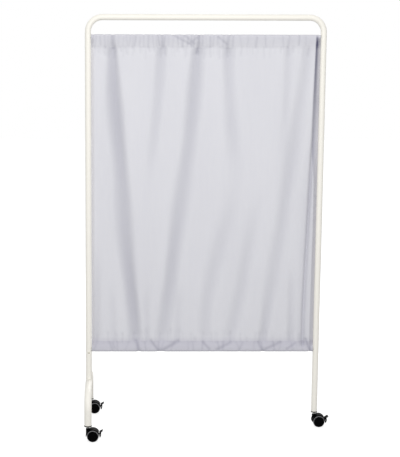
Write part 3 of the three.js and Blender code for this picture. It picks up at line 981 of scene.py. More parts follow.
class CastorShapes:
    """The meshes of one castor, made once and copied for each place."""

    def __init__(self, sizes: CastorSizes) -> None:
        """Works out the pedal's pin from the sizes."""
        self.s = sizes
        self.pivot = sizes.pedal_places(PIVOT_SHARES)[0]

    def across(self, diameter: float, width: float, x: float, z: float, sides: int = 64) -> bpy.types.Mesh:
        """A round bar along Y, centred on the castor's middle plane."""
        return moved(mesh_of("bar", rod(diameter, -width / 2, width / 2, Axis.Y, sides=sides)), x=x, z=z)

    def on_axle(self, name: str, grid: Grid) -> bpy.types.Mesh:
        """A mesh of a grid that was turned about Y, moved to the axle."""
        return moved(mesh_of(name, grid), x=self.s.trail, z=self.s.radius)

    def sector(self, inner: float, outer: float, start: float, end: float, width: float, rim: float) -> bpy.types.Mesh:
        """Part of a ring round the axle, or of a disc where the inner radius is 0.

        Args:
            inner: inner radius.
            outer: outer radius.
            start: angle of its lower end, in degrees.
            end: angle of its upper end, in degrees.
            width: its size along Y.
            rim: radius of its rounded rims.

        Returns:
            The mesh.
        """
        far = arc(outer, start, end, SMALL_SIDES)
        near = arc(inner, end, start, SMALL_SIDES) if inner else np.zeros((1, 2))
        return mesh_of("sector", plate(self.s.about_axle(np.concatenate([far, near])), width, rim))

    def block(self, x0: float, x1: float, z0: float, z1: float, width: float, edge: float) -> bpy.types.Mesh:
        """A block with rounded edges, between two places along X and two heights."""
        corners = np.array([[x0, z0], [x1, z0], [x1, z1], [x0, z1]])
        return mesh_of("block", plate(rounded(corners, edge, closed=True), width, edge))

    def hood(self) -> bpy.types.Mesh:
        """The neck, the guard over the wheels, the web between them and the lug for the pedal.

        The guard is drawn from its inset inside the well, which is then cut out of it.

        Returns:
            The mesh, with holes for the stem, the axle and the pedal's pin.
        """
        s, (px, pz) = self.s, self.pivot
        guard, inside = s.well + s.hood_wall, s.well - s.guard_inset
        profile = np.array([[0, s.radius], [s.neck / 2, s.radius], [s.neck / 2, s.neck_top], [0, s.neck_top]])
        neck = mesh_of("hood", turned(rounded(profile, s.neck_edge, closed=False), Axis.Z))
        bridge = self.block(0, s.trail, s.radius, s.neck_top - s.bridge_drop, s.bridge_width, s.bridge_edge)
        low_web = (0, s.radius + s.web_proud, s.web_start, s.hood_end + s.web_overlap)
        lug = self.block(s.trail, px, pz - s.tongue / 2, pz + s.tongue / 2, s.web, s.web_edge)
        socket = rod(s.stem + 2 * s.gap, s.neck_top - s.stem_seat - s.gap, s.neck_top + s.socket_past, Axis.Z)
        return combined(
            neck,
            (Join.ADD, bridge),
            (Join.ADD, self.sector(inside, guard, s.hood_end, 180, s.hood_width, s.hood_edge)),
            (Join.CUT, self.across(2 * s.well, 2 * s.hood_width, s.trail, s.radius, LARGE_SIDES)),
            (Join.ADD, self.sector(0, guard - s.hood_wall / 2, s.hood_end, 180, s.web, s.web_edge)),
            (Join.ADD, self.sector(*low_web, s.web, s.web_edge)),
            (Join.ADD, self.across(s.hub, s.web, s.trail, s.radius)),
            (Join.ADD, lug),
            (Join.ADD, self.across(s.tongue, s.web, px, pz, SMALL_SIDES)),
            (Join.CUT, self.across(s.axle + 2 * s.gap, s.hood_width, s.trail, s.radius)),
            (Join.CUT, mesh_of("socket", socket)),
            (Join.CUT, self.across(s.pin + 2 * s.gap, s.hood_width, px, pz, PIN_SIDES)),
        )

    def pedal(self) -> bpy.types.Mesh:
        """The brake pedal: a fork round the web's lug, with a lip to tread on.

        Returns:
            The mesh, with a hole for its pin.
        """
        s, (px, pz) = self.s, self.pivot
        outline = rounded(s.pedal_places(PEDAL_SHARES), s.pedal_corner, closed=True)
        slot, width = s.tongue + 2 * s.tongue_gap, s.web + 2 * s.tongue_gap
        return combined(
            mesh_of("pedal", plate(outline, s.pedal_width, s.pedal_edge)),
            (Join.CUT, self.across(slot, width, px, pz, SMALL_SIDES)),
            (Join.CUT, self.block(s.trail, px, pz - slot / 2, pz + slot / 2, width, s.slot_edge)),
            (Join.CUT, self.across(s.pin + 2 * s.gap, 2 * s.pedal_width, px, pz, PIN_SIDES)),
        )

    def wheel(self, side: int) -> bpy.types.Mesh:
        """A wheel's body: a rim that the tyre sits on, a face disc that holds it in, and a seat for the cap.

        Args:
            side: -1 for the front wheel and 1 for the back one.

        Returns:
            The mesh.
        """
        s = self.s
        inner, outer = s.inner_face, s.outer_face
        bore, recess = s.axle / 2 + s.gap, s.cap / 2 + s.gap
        disc, floor = outer - s.face_depth, outer - s.cap_recess
        in_by, down_by = s.face_chamfer
        section = np.array(
            [
                [bore, inner], [s.rim - s.rim_chamfer, inner], [s.rim, inner + s.rim_chamfer], [s.rim, disc],
                [s.face, disc], [s.face, outer - down_by], [s.face - in_by, outer], [recess, outer],
                [recess, floor], [bore, floor],
            ]
        )
        section[:, 1] *= side
        shell = turned(rounded(section, s.wheel_edge, closed=True), Axis.Y, LARGE_SIDES, ring=True)
        return self.on_axle("wheel", shell)

    def tyre(self, side: int) -> bpy.types.Mesh:
        """The tyre round a wheel's rim, behind its face disc, with a flat tread and a rounded shoulder.

        At an angle a from 0 to 90 degrees, the shoulder's radius goes from the face disc's to the tread's as cos a,
        and it lies its depth times (1 - sin a) behind the disc.

        Args:
            side: -1 for the front wheel and 1 for the back one.

        Returns:
            The mesh.
        """
        s = self.s
        inner, seat = s.inner_face, s.rim + s.tyre_gap
        behind = s.outer_face - s.face_depth - s.tyre_gap
        angle = np.radians(np.linspace(0, 90, 11))
        shoulder = np.stack(
            [s.face + (s.radius - s.face) * np.cos(angle), behind - s.shoulder_depth * (1 - np.sin(angle))], axis=-1
        )
        start = np.array(
            [[seat + s.tyre_chamfer, inner], [s.radius - s.tread_chamfer, inner], [s.radius, inner + s.tread_chamfer]]
        )
        end = np.array([[seat, behind], [seat, inner + s.tyre_chamfer]])
        section = np.concatenate([start, shoulder, end])
        section[:, 1] *= side
        return self.on_axle("tyre", turned(section, Axis.Y, LARGE_SIDES, ring=True))

    def cap(self, side: int) -> bpy.types.Mesh:
        """The cap over a wheel's hub: a shallow dome with a ring groove and a dimple.

        Args:
            side: -1 for the front wheel and 1 for the back one.

        Returns:
            The mesh.
        """
        s = self.s
        edge, back, face = s.cap / 2, s.outer_face - s.cap_recess + s.gap, s.outer_face
        top = face + s.cap_dome
        groove_floor, dimple_floor = top - s.groove_depth, top - s.dimple_depth
        outer, outer_foot, inner_foot, inner = (share * edge for share in s.groove)
        dimple, dimple_foot = (share * edge for share in s.dimple)
        section = np.array(
            [
                [0, back], [edge, back], [edge, face], [edge - s.cap_slope, top], [outer, top],
                [outer_foot, groove_floor], [inner_foot, groove_floor], [inner, top], [dimple, top],
                [dimple_foot, dimple_floor], [0, dimple_floor],
            ]
        )
        section[:, 1] *= side
        return self.on_axle("cap", turned(rounded(section, s.cap_edge, closed=False), Axis.Y))

    def stem(self) -> bpy.types.Mesh:
        """The steel stem, with a collar under the plug.

        Returns:
            The mesh.
        """
        s = self.s
        r, collar = s.stem / 2, s.collar / 2
        low, high = s.neck_top - s.stem_seat, s.flange_bottom - s.gap
        ledge = high - s.collar_height
        top = s.flange_bottom + s.flange_height + s.gap + s.stem_reach
        section = np.array(
            [
                [0, low], [r, low], [r, ledge], [collar, ledge], [collar, high], [r, high],
                [r, top - s.stem_chamfer], [r - s.stem_chamfer, top], [0, top],
            ]
        )
        return mesh_of("stem", turned(rounded(section, s.stem_edge, closed=False), Axis.Z, MIDDLE_SIDES))

    def plug(self, tube_diameter: float, bore_diameter: float) -> bpy.types.Mesh:
        """The plug in a tube's end: a flange under the tube and a sleeve in its bore.

        Args:
            tube_diameter: the tube's outside diameter.
            bore_diameter: its bore.

        Returns:
            The mesh, with a hole for the stem.
        """
        s = self.s
        flange, sleeve, bore = tube_diameter / 2 + s.flange_proud, bore_diameter / 2 - s.gap, s.stem / 2 + s.gap
        low, seat = s.flange_bottom, s.flange_bottom + s.flange_height
        top = seat + s.sleeve
        section = np.array(
            [
                [bore, low], [flange, low], [flange, seat], [sleeve, seat],
                [sleeve, top - s.sleeve_chamfer], [sleeve - s.sleeve_chamfer, top], [bore, top],
            ]
        )
        return mesh_of("plug", turned(rounded(section, s.plug_edge, closed=True), Axis.Z, ring=True))


class Castors:
    """The three castors, each at its own tube's end."""

    PREFIXES = ("front_left", "rear_left", "right")

    def __init__(self, frame_sizes: TubeFrame) -> None:
        """Makes the meshes that the castors share.

        Args:
            frame_sizes: the frame, for its tubes' diameters and bores.
        """
        self.shapes = CastorShapes(CastorSizes())
        foot = (frame_sizes.foot_tube, frame_sizes.foot_tube - 2 * frame_sizes.foot_wall)
        post = (frame_sizes.tube, frame_sizes.tube - 2 * frame_sizes.tube_wall)
        self.tubes = {"front_left": foot, "rear_left": foot, "right": post}
        self.shared = {
            "hood": self.shapes.hood(),
            "pedal": self.shapes.pedal(),
            "stem": self.shapes.stem(),
            "front_wheel": self.shapes.wheel(-1),
            "back_wheel": self.shapes.wheel(1),
            "front_tyre": self.shapes.tyre(-1),
            "back_tyre": self.shapes.tyre(1),
            "front_cap": self.shapes.cap(-1),
            "back_cap": self.shapes.cap(1),
        }

    def build(self) -> None:
        """Makes and dresses the castors' pieces, and dresses the axles and pedal pins that stay as packed."""
        nylon, tyre, zinc = BLACK_NYLON.material(), TYRE.material(), ZINC.material()
        plans = (
            ("hood", "swivel", "black_nylon", nylon, "hood"),
            ("stem", "swivel", "zinc_steel", zinc, "stem"),
            ("pedal", "brake", "black_nylon", nylon, "pedal"),
            ("front_wheel", "front_roller", "wheel_nylon", nylon, "front_wheel"),
            ("back_wheel", "back_roller", "wheel_nylon", nylon, "back_wheel"),
            # The tyre's grey is a painted highlight
            ("front_tyre", "front_roller", "wheel_nylon", tyre, ""),
            ("back_tyre", "back_roller", "wheel_nylon", tyre, ""),
            ("front_cap", "front_roller", "black_nylon", nylon, "front_cap"),
            ("back_cap", "back_roller", "black_nylon", nylon, "back_cap"),
        )
        for prefix in self.PREFIXES:
            axis = centre_of(f"{prefix}_castor_plug")
            for part, body, slot, material, stands_for in plans:
                mesh = moved(self.shared[part].copy(), x=axis.x, y=axis.y)
                nodes = [f"{prefix}_castor_{stands_for}"] if stands_for else []
                dress(f"{prefix}_{part}", mesh, f"{prefix}_{body}", slot, material, *nodes)
            plug = moved(self.shapes.plug(*self.tubes[prefix]), x=axis.x, y=axis.y)
            dress(f"{prefix}_plug", plug, "frame", "plug_plastic", PLUG_PLASTIC.material(), f"{prefix}_castor_plug")
            for part in ("axle", "pedal_pin"):
                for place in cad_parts[f"{prefix}_castor_{part}"].material_slots:
                    place.material = zinc


# Curtain


def ease(t: Array) -> Array:
    """Smooth step: 0 below 0, 1 above 1 and 3t^2 - 2t^3 between."""
    s = np.clip(t, 0, 1)
    return s * s * (3 - 2 * s)


@dataclass(frozen=True)
class ByHeight:
    """A measure that runs straight between the values it has at some heights."""

    heights: tuple[float, ...]
    values: tuple[float, ...]

    def at(self, z: Array) -> Array:
        """The measure at the heights z."""
        return np.interp(z, self.heights, self.values)


@dataclass(frozen=True)
class Sway:
    """A slow sine of the height."""

    size: float
    length: float

    def at(self, z: Array, start: float) -> Array:
        """The sway at the heights z: its size times sin(z / length + start)."""
        return self.size * np.sin(z / self.length + start)


# Sway of a fold's line, in millimetres, and of its half width and depth, as shares of them
LINE_SWAY, WIDTH_SWAY, DEPTH_SWAY = Sway(2.5, 105), Sway(0.1, 83), Sway(0.12, 130)

# Share of a fold's length over which it fades out at a closed end
FOLD_FADE = 0.55


@dataclass(frozen=True)
class Fold:
    """A long soft fold that slants down the cloth.

    Its line runs through the given places. Depth and half width are given at the line's top, middle and bottom. They
    stay near the middle's for most of the way: with v from -1 at the bottom to 1 at the top, each is the middle's value
    plus the cube of the size of v times the difference at that end.
    """

    line: tuple[Pair, ...]
    depth: tuple[float, float, float]
    half_width: tuple[float, float, float]
    lean: float = 0.0
    open_top: bool = False
    open_bottom: bool = False

    def offset(self, x: Array, z: Array) -> Array:
        """How far the cloth stands back.

        With a the distance from the line in half widths, but at most 1, the offset is the depth times (1 - a^2)^3.
        Lean makes the left side wider and the right side narrower. The line, the depth and the half width each sway
        a little on a sine of the height, and the fold fades out over its length towards an end that isn't open.

        Args:
            x: places across, in millimetres.
            z: heights, in millimetres.

        Returns:
            Offsets towards +Y, in millimetres.
        """
        places = np.array(self.line)
        low, high = places[:, 1].min(), places[:, 1].max()
        within = np.clip(z, low, high)
        centre = np.polyval(np.polyfit(places[:, 1], places[:, 0], min(3, len(places) - 1)), within)
        v = (2 * within - low - high) / (high - low)
        half, depth = (
            middle + np.abs(v) ** 3 * (np.where(v > 0, top, bottom) - middle)
            for top, middle, bottom in (self.half_width, self.depth)
        )
        start = places[0, 0]
        away = x - centre - LINE_SWAY.at(within, start)
        half = half * (1 + WIDTH_SWAY.at(within, start))
        depth = depth * (1 + DEPTH_SWAY.at(within, start))
        a = np.minimum(np.abs(away) / (half * (1 - self.lean * np.sign(away))), 1)
        fade = FOLD_FADE * (high - low)
        above = 1.0 if self.open_top else ease((high - z) / fade)
        below = 1.0 if self.open_bottom else ease((z - low) / fade)
        return depth * (1 - a**2) ** 3 * above * below


@dataclass(frozen=True)
class Crease:
    """A short narrow crease between two places, deepest in its middle."""

    start: Pair
    end: Pair
    half_width: float
    depth: float

    def offset(self, x: Array, z: Array) -> Array:
        """How far the crease goes in: depth times exp(-(d / half width)^2), with d the distance to its line.

        Args:
            x: places across, in millimetres.
            z: heights, in millimetres.

        Returns:
            Offsets towards +Y, in millimetres.
        """
        start, way = np.array(self.start), np.array(self.end) - np.array(self.start)
        length = float(way @ way)
        t = np.clip(((x - start[0]) * way[0] + (z - start[1]) * way[1]) / length, 0, 1)
        distance = np.hypot(x - start[0] - t * way[0], z - start[1] - t * way[1])
        return self.depth * np.exp(-((distance / self.half_width) ** 2))


# The long folds, placed from the photograph
FOLDS = (
    Fold(((-386, 1621), (-372, 1449), (-360, 1220), (-346, 1031), (-324, 839), (-309, 645), (-298, 506), (-286, 377)),
         (14.5, 15.5, 13), (32, 55, 38), 0.14, True, True),
    Fold(((-181, 1622), (-193, 1449), (-211, 1283), (-226, 1040), (-230, 960)), (8.5, 7, 3), (31, 38, 46), 0.0, True),
    Fold(((-29, 1622), (-50, 1408), (-73, 1200), (-89, 1031), (-117, 839), (-141, 645), (-161, 506), (-175, 377)),
         (11.5, 11.5, 9), (38, 54, 40), -0.08, True, True),
    Fold(((94, 1623), (101, 1450), (117, 1280), (135, 1103), (144, 1000)), (12, 8, 4), (34, 48, 66), 0.0, True),
    Fold(((130, 1180), (106, 925), (74, 797), (42, 667), (18, 524), (11, 377)), (3, 6, 4.5), (70, 58, 40), 0.0, False,
         True),
    Fold(((248, 1120), (213, 883), (181, 711), (154, 559), (114, 377)), (3, 5, 5.5), (62, 50, 36), 0.0, False, True),
    Fold(((427, 1624), (413, 1492), (392, 1351), (362, 1104), (338, 925), (307, 706), (275, 489), (262, 377)),
         (7, 6.5, 9), (38, 52, 33), 0.0, True, True),
    Fold(((346, 1623), (341, 1451), (334, 1201), (330, 1100)), (6, 4, 1), (26, 34, 40), 0.0, True),
    Fold(((-239, 680), (-234, 377)), (1, 3.5, 5), (24, 26, 19), 0.0, False, True),
    Fold(((-94, 680), (-109, 377)), (1, 3.5, 5), (28, 31, 24), 0.0, False, True),
    Fold(((-394, 640), (-378, 377)), (1, 4, 7), (26, 26, 22), 0.0, False, True),
    Fold(((382, 760), (379, 377)), (1, 5, 9), (31, 31, 26), 0.0, False, True),
    Fold(((-448, 840), (-462, 377)), (1, 5, 7), (34, 41, 31), 0.0, False, True),
)

# Creases in the hems and just below the top seam
HEM_CREASES = (
    Crease((-386, 1677), (-384, 1622), 6, 4.2),
    Crease((98, 1677), (90, 1622), 5, 3.4),
    Crease((-28, 1677), (-36, 1600), 6, 4.2),
    Crease((-180, 1674), (-178, 1622), 6, 2.6),
    Crease((-140, 1676), (-60, 1636), 5, 3.6),
    Crease((-90, 1674), (-48, 1640), 5, 3.6),
    Crease((-70, 1640), (-30, 1668), 5, 3.6),
    Crease((50, 1668), (85, 1640), 5, 3.4),
    Crease((-222, 381), (-188, 338), 6, 5.0),
    Crease((-104, 379), (-176, 338), 7, 5.0),
    Crease((-285, 377), (-272, 340), 7, 4.5),
    Crease((4, 372), (30, 344), 6, 4.2),
    Crease((120, 372), (62, 344), 6, 4.2),
    Crease((240, 374), (256, 340), 6, 4.2),
    Crease((334, 374), (266, 342), 6, 4.2),
    Crease((398, 370), (362, 344), 5, 4.0),
    Crease((444, 386), (462, 338), 6, 5.5),
    Crease((-385, 372), (-378, 350), 5, 3.0),
)


def spots(*runs: tuple[float, float, float]) -> Array:
    """Places across the cloth in one or more runs, each given by its start, end and step."""
    return np.concatenate([np.arange(*run) for run in runs])


# Places of the small gathers in both hems and of the puckers next to both seams, closer together on the left
TOP_GATHERS, BOTTOM_GATHERS = spots((-465, 100, 15), (110, 440, 34)), spots((-450, 440, 42))
TOP_PUCKERS, BOTTOM_PUCKERS = spots((-460, 110, 13), (120, 450, 24)), spots((-455, 450, 27))

# Heights at which the shape of the cloth's right edge is given, from the bottom seam to the top one
EDGE_HEIGHTS = (377, 515, 775, 950, 1075, 1200, 1326, 1624)


@dataclass(frozen=True)
class RightEdge:
    """The cloth's right edge: a sharp valley, a ridge, and then cloth that turns back beside the post.

    The valley dies out upwards. The turn starts at its own line and goes on to the cloth's edge, where it also reaches
    sideways behind the post. Places are millimetres from the curtain's middle, and tones are about 0 to 1: they are
    painted shade in the valley, on its slopes and in the slot between the turned cloth and the post. The mouth is the
    open end of the top hem, where the painted shadow on the turned cloth is darkest.
    """

    line: ByHeight = ByHeight(EDGE_HEIGHTS, (430, 431, 438, 444, 448, 452, 456, 460))
    valley_depth: ByHeight = ByHeight(EDGE_HEIGHTS, (9, 11, 11, 11, 10.5, 9, 3, 0))
    valley_width: float = 7.5
    # Painted shade in the valley and on its slopes
    valley_share: ByHeight = ByHeight((700, 1000, 1240), (0.01, 0.024, 0.034))
    slope_width: ByHeight = ByHeight((1000, 1300), (28, 12))
    slope_painted_shade: ByHeight = ByHeight((1150, 1330), (0.17, 0.04))
    start: ByHeight = ByHeight(EDGE_HEIGHTS, (456, 456.5, 459, 460, 458, 447, 445, 453))
    turn_depth: ByHeight = ByHeight(EDGE_HEIGHTS, (17, 17, 17, 17, 19, 22, 24, 24))
    turn_round: float = 0.14
    reach: float = 5.5
    # Painted shadow on the turned cloth, in the slot by the post and round the hem's mouth
    dark: ByHeight = ByHeight((377, 993, 1117, 1240, 1323, 1447, 1570), (0.3, 0.3, 0.36, 0.45, 0.6, 0.88, 1.15))
    dark_by: float = 0.25
    mouth: float = 1638
    mouth_size: float = 14
    mouth_painted_shade: float = 0.5
    fade: ByHeight = ByHeight((993, 1117, 1400, 1530), (0.8, 0.5, 0.5, 0.8))
    fade_from: float = 0.32
    fade_width: ByHeight = ByHeight((1117, 1447), (0.6, 0.42))

    def turn(self, x: Array, z: Array, edge: float) -> Array:
        """Share of the way from where the turn starts to the cloth's edge: 0 before the start."""
        start = self.start.at(z)
        return np.clip((x - start) / (edge - start), 0, 1)

    def valley(self, x: Array, z: Array) -> Array:
        """How far the valley goes in: its depth times exp(-((x - line) / width)^2)."""
        return self.valley_depth.at(z) * np.exp(-(((x - self.line.at(z)) / self.valley_width) ** 2))

    def turned_back(self, t: Array, z: Array) -> Array:
        """How far the turn goes back at a share t of its way: its depth times (root of (t^2 + round^2) - round)."""
        return self.turn_depth.at(z) * (np.hypot(t, self.turn_round) - self.turn_round)

    def valley_painted_shade(self, x: Array, z: Array) -> Array:
        """Painted shade of the valley: a share of its depth, and a wider slope shade * exp(-((x - line) / slope
        width)^2).
        """
        slope = np.exp(-(((x - self.line.at(z)) / self.slope_width.at(z)) ** 2))
        return slope * self.slope_painted_shade.at(z) + self.valley(x, z) * self.valley_share.at(z)

    def turn_painted_shade(self, t: Array, z: Array) -> Array:
        """Painted shadow on the turned cloth, in the slot between it and the post.

        It rises over the first part of the turn, fades again towards the edge, and is raised round the mouth by a
        share that goes as exp(-((z - mouth) / size)^2).

        Args:
            t: share of the way through the turn.
            z: heights, in millimetres.

        Returns:
            The painted shade, from 0 to a little over 1.
        """
        mouth = 1 + self.mouth_painted_shade * np.exp(-(((z - self.mouth) / self.mouth_size) ** 2))
        faded = self.fade.at(z) * ease((t - self.fade_from) / self.fade_width.at(z))
        return self.dark.at(z) * mouth * ease(t / self.dark_by) * (1 - faded)


@dataclass(frozen=True)
class Curtain:
    """One cloth with a rod pocket at its top and one at its bottom, and a single layer between the two seams.

    Free top and bottom, and edge top and bottom, are a gap from the rod and the length over which the folds, or the
    turned edges, grow from there. Painted hem shade top and bottom are a hem's painted shade from its lower to its
    upper end. Painted shade above seam is a tone and the length that it fades over. Fold painted shade and ripple
    painted shade depth are for the single layer and for the hems.
    """

    middle_x: float
    half_width: float = 474.3
    top: float = 1677
    bottom: float = 334
    top_rod: float = 1669.655
    bottom_rod: float = 341.345
    top_seam: float = 1626
    bottom_seam: float = 377
    pocket_radius: float = 5.7
    thickness: float = 0.8
    lie: float = 0.9
    turned_in: float = 3.0
    hem_puff: float = 1.9
    puff_lengths: Pair = (40, 32)
    full_crease: float = 3.0
    ripple_limit: float = 6.0
    billow: float = 1.6
    free_top: Pair = (7, 72)
    free_bottom: Pair = (7, 60)
    edge_top: Pair = (4, 16)
    edge_bottom: Pair = (5, 24)
    left_turn: float = 9.0
    left_width: float = 14.0
    right: RightEdge = RightEdge()
    top_fade: float = 14.0
    # Painted shade in the hems, above the bottom seam, in the folds and creases, and on the left edge
    painted_hem_shade_top: Pair = (0.0, 0.5)
    painted_hem_shade_bottom: Pair = (0.74, 1.0)
    painted_shade_above_seam: Pair = (0.5, 24)
    painted_fold_shade_at: float = 42.0
    fold_painted_shade: Pair = (1.1, 0.15)
    ripple_painted_shade_depth: Pair = (17, 14)
    left_painted_shade_depth: float = 60.0
    unevenness: float = 0.02
    deepest: float = 1.5
    fine_from: float = 420
    columns: tuple[int, int] = (254, 34)
    pocket_rows: int = 9
    hem_rows: int = 14
    layer_rows: int = 84
    row_crowding: float = 0.11
    cut_width: float = 972
    cut_length: float = 1467
    stitch_length: float = 3.2
    stitch_pitch: float = 4.0
    stitch_rings: int = 5
    stitch_sides: int = 6
    thread: float = 0.5
    thread_lift: float = 0.1

    def section(self) -> tuple[Array, Array, Array]:
        """The cloth's line in Y and Z from the back of the top hem, over the rod, down the front and back up.

        Each pocket is two layers that part from the seam as sin(pi t / 2) times the pocket's radius, and a half
        circle round the rod. The single layer hangs at Y = 0, with rows closer together near both seams: with u from
        0 to 1 down it, they lie at u - crowding * sin(2 pi u).

        Returns:
            Y, Z and side: 1 on the back of a pocket, -1 on its front, 0 on the single layer and between on the rods.
        """
        rows, r = self.hem_rows, self.pocket_radius
        part = r * np.sin(np.pi * np.linspace(0, 1, rows) / 2)
        flat = np.ones(rows)
        half_turn = np.linspace(0, np.pi, self.pocket_rows + 2)[1:-1]
        over, along = np.sin(half_turn), np.cos(half_turn)
        u = np.linspace(0, 1, self.layer_rows + 2)[1:-1]
        u = u - self.row_crowding * np.sin(2 * np.pi * u)
        layer = self.top_seam + (self.bottom_seam - self.top_seam) * u
        rise = np.linspace(self.top_seam - self.turned_in, self.top_rod, rows)
        front_rise = np.linspace(self.top_seam, self.top_rod, rows)
        front_fall = np.linspace(self.bottom_seam, self.bottom_rod, rows)
        fall = np.linspace(self.bottom_seam + self.turned_in, self.bottom_rod, rows)
        y = np.concatenate([part, r * along, -part[::-1], 0 * layer, -part, -r * along, part[::-1]])
        z = np.concatenate(
            [rise, self.top_rod + r * over, front_rise[::-1], layer, front_fall, self.bottom_rod - r * over, fall[::-1]]
        )
        side = np.concatenate([flat, along, -flat, 0 * layer, -flat, -along, flat])
        return y, z, side

    def gathers(self) -> list[Crease]:
        """Small upright gathers in both hems, drawn from a fixed seed.

        Returns:
            The gathers, each a crease between its upper and its lower end.
        """
        draw = np.random.default_rng(11)
        made = []
        for x in TOP_GATHERS:
            tilt, shift = draw.uniform(-6, 6), draw.uniform(-5, 5)
            foot, drop = draw.uniform(-12, 6), draw.uniform(0, 14)
            half_width, depth = draw.uniform(3.6, 5.4), draw.uniform(1.2, 3.6)
            head, foot = (x + shift, self.top - drop), (x + shift + tilt, self.top_seam - foot)
            made.append(Crease(head, foot, half_width, depth))
        for x in BOTTOM_GATHERS:
            tilt, shift = draw.uniform(-14, 14), draw.uniform(-12, 12)
            half_width, depth = draw.uniform(4, 6), draw.uniform(1.4, 3.2)
            head, foot = (x + shift, self.bottom_seam - 4), (x + shift + tilt, self.bottom + 8)
            made.append(Crease(head, foot, half_width, depth))
        return made

    def puckers(self) -> list[Crease]:
        """Short puckers in the single layer next to both seams, drawn from a fixed seed.

        Returns:
            The puckers, each a crease that starts at its seam.
        """
        draw = np.random.default_rng(23)
        made = []
        for x in TOP_PUCKERS:
            shift, drop, tilt = draw.uniform(-5, 5), draw.uniform(14, 46), draw.uniform(-4, 4)
            half_width, depth = draw.uniform(4, 6), draw.uniform(0.6, 2.0)
            head, foot = (x + shift, self.top_seam), (x + shift + tilt, self.top_seam - drop)
            made.append(Crease(head, foot, half_width, depth))
        for x in BOTTOM_PUCKERS:
            shift, rise = draw.uniform(-9, 9), draw.uniform(12, 50)
            half_width, depth = draw.uniform(5, 8), draw.uniform(0.6, 2.0)
            foot, head = (x + shift, self.bottom_seam), (x + shift, self.bottom_seam + rise)
            made.append(Crease(foot, head, half_width, depth))
        return made

    def clear_of_rods(self, z: Array, top: Pair, bottom: Pair) -> Array:
        """0 up to a gap from each rod and 1 a length further on, for a gap and a length at the top and the bottom."""
        (gap, length), (low_gap, low_length) = top, bottom
        return ease((self.top_rod - gap - z) / length) * ease((z - self.bottom_rod - low_gap) / low_length)

    def freedom(self, z: Array) -> Array:
        """How freely the cloth hangs at a height: 0 at both rods, and 1 from a little way inside the seams."""
        return self.clear_of_rods(z, self.free_top, self.free_bottom)

    def hang(self, folds: Array, x: Array, z: Array) -> Array:
        """How far the cloth stands back from the rods' plane: its folds and a wide shallow billow.

        The billow is its size times sin(x / 61 + z / 700) times sin(x / 173 - z / 430 + 1.1).

        Args:
            folds: how far the long folds stand back, in millimetres.
            x: places across, in millimetres.
            z: heights, in millimetres.

        Returns:
            Offsets towards +Y, in millimetres.
        """
        billow = self.billow * np.sin(x / 61 + z / 700) * np.sin(x / 173 - z / 430 + 1.1)
        return (folds + billow) * self.freedom(z)

    def edges(self, x: Array, z: Array) -> tuple[Array, Array, Array]:
        """How both edges turn back, how far the right one reaches behind the post, and the shade painted on them.

        The left edge turns back over its last few millimetres. The right one has its valley and its turn, and with t
        the share of the way through the turn it reaches sideways as t^1.5.

        Args:
            x: places across, in millimetres.
            z: heights, in millimetres.

        Returns:
            Offsets towards +Y and towards +X, in millimetres, and the painted shade.
        """
        right, shown = self.right, self.clear_of_rods(z, self.edge_top, self.edge_bottom)
        t = right.turn(x, z, self.half_width)
        left = self.left_turn * ease((self.left_width - self.half_width - x) / self.left_width)
        back = right.valley(x, z) + right.turned_back(t, z) + left
        # Painted shade on the edges: in the slot by the right post, in the right valley and on the turned-back left
        # edge
        tone = right.turn_painted_shade(t, z) * ease((self.top - z) / self.top_fade)
        tone = tone + (left / self.left_painted_shade_depth + right.valley_painted_shade(x, z)) * shown
        return back * shown, right.reach * t**1.5 * shown, tone

    def smooth_sheet(self) -> tuple[Array, ...]:
        """The cloth before it is creased, with closer columns at its right edge.

        Returns:
            X, Y, Z and side, each rows by columns.
        """
        y, z, side = (row[:, None] for row in self.section())
        wide = np.linspace(-self.half_width, self.fine_from, self.columns[0])
        fine = np.linspace(self.fine_from, self.half_width, self.columns[1])
        return tuple(np.broadcast_arrays(np.concatenate([wide, fine[1:]]), y, z, side))

    def points(self) -> tuple[Array, Array, dict[str, Array]]:
        """The cloth's middle surface.

        Returns:
            Points, rows by columns by 3, in millimetres, UV, and from 0 to 1 the painted shade of the hems and of the
            folds.
        """
        x, y, z, side = self.smooth_sheet()
        crease = sum(c.offset(x, z) for c in (*HEM_CREASES, *self.gathers()))
        ripple = np.clip(crease + sum(c.offset(x, z) for c in self.puckers()), 0, self.ripple_limit)
        folds = sum(fold.offset(x, z) for fold in FOLDS)
        edges, sideways, edge_painted_shade = self.edges(x, z)
        back = self.hang(folds, x, z) + edges + ripple * self.freedom(z)
        above, below = self.puff_lengths
        near_rod = ease((z - self.top_seam) / above) + ease((self.bottom_seam - z) / below)
        puff = self.hem_puff * (1 - np.clip(crease / self.full_crease, 0, 1)) * near_rod
        lift = (np.maximum(z - self.top_rod, 0) - np.maximum(self.bottom_rod - z, 0)) / self.pocket_radius
        points = np.stack([x + sideways, y + back + side * (self.lie + puff), z + lift * puff], axis=-1)
        # Painted shade, from the hems and from the folds, creases and edges
        marks = {
            "painted_hem_shade": self.painted_hem_shade(z, side == 0),
            "painted_fold_shade": self.painted_fold_shade(x, z, side == 0, folds, ripple, edge_painted_shade),
        }
        return points, self.laid_flat(points), marks

    def painted_hem_shade(self, z: Array, layer: Array) -> Array:
        """Painted shade on the hems and on the single layer just above the bottom seam, for light that shines through
        less.

        Args:
            z: heights, in millimetres.
            layer: whether each point is on the single layer.

        Returns:
            From 0 to 1: in the hems it goes straight from end to end, and on the layer it fades above the bottom seam.
        """
        upper_hem = np.interp(z, (self.top_seam, self.top), self.painted_hem_shade_top)
        lower_hem = np.interp(z, (self.bottom, self.bottom_seam), self.painted_hem_shade_bottom)
        most, length = self.painted_shade_above_seam
        painted_shade_above_seam = most * ease((self.bottom_seam + length - z) / length)
        in_upper_half = z > (self.top_seam + self.bottom_seam) / 2
        return np.where(layer, painted_shade_above_seam, np.where(in_upper_half, upper_hem, lower_hem))

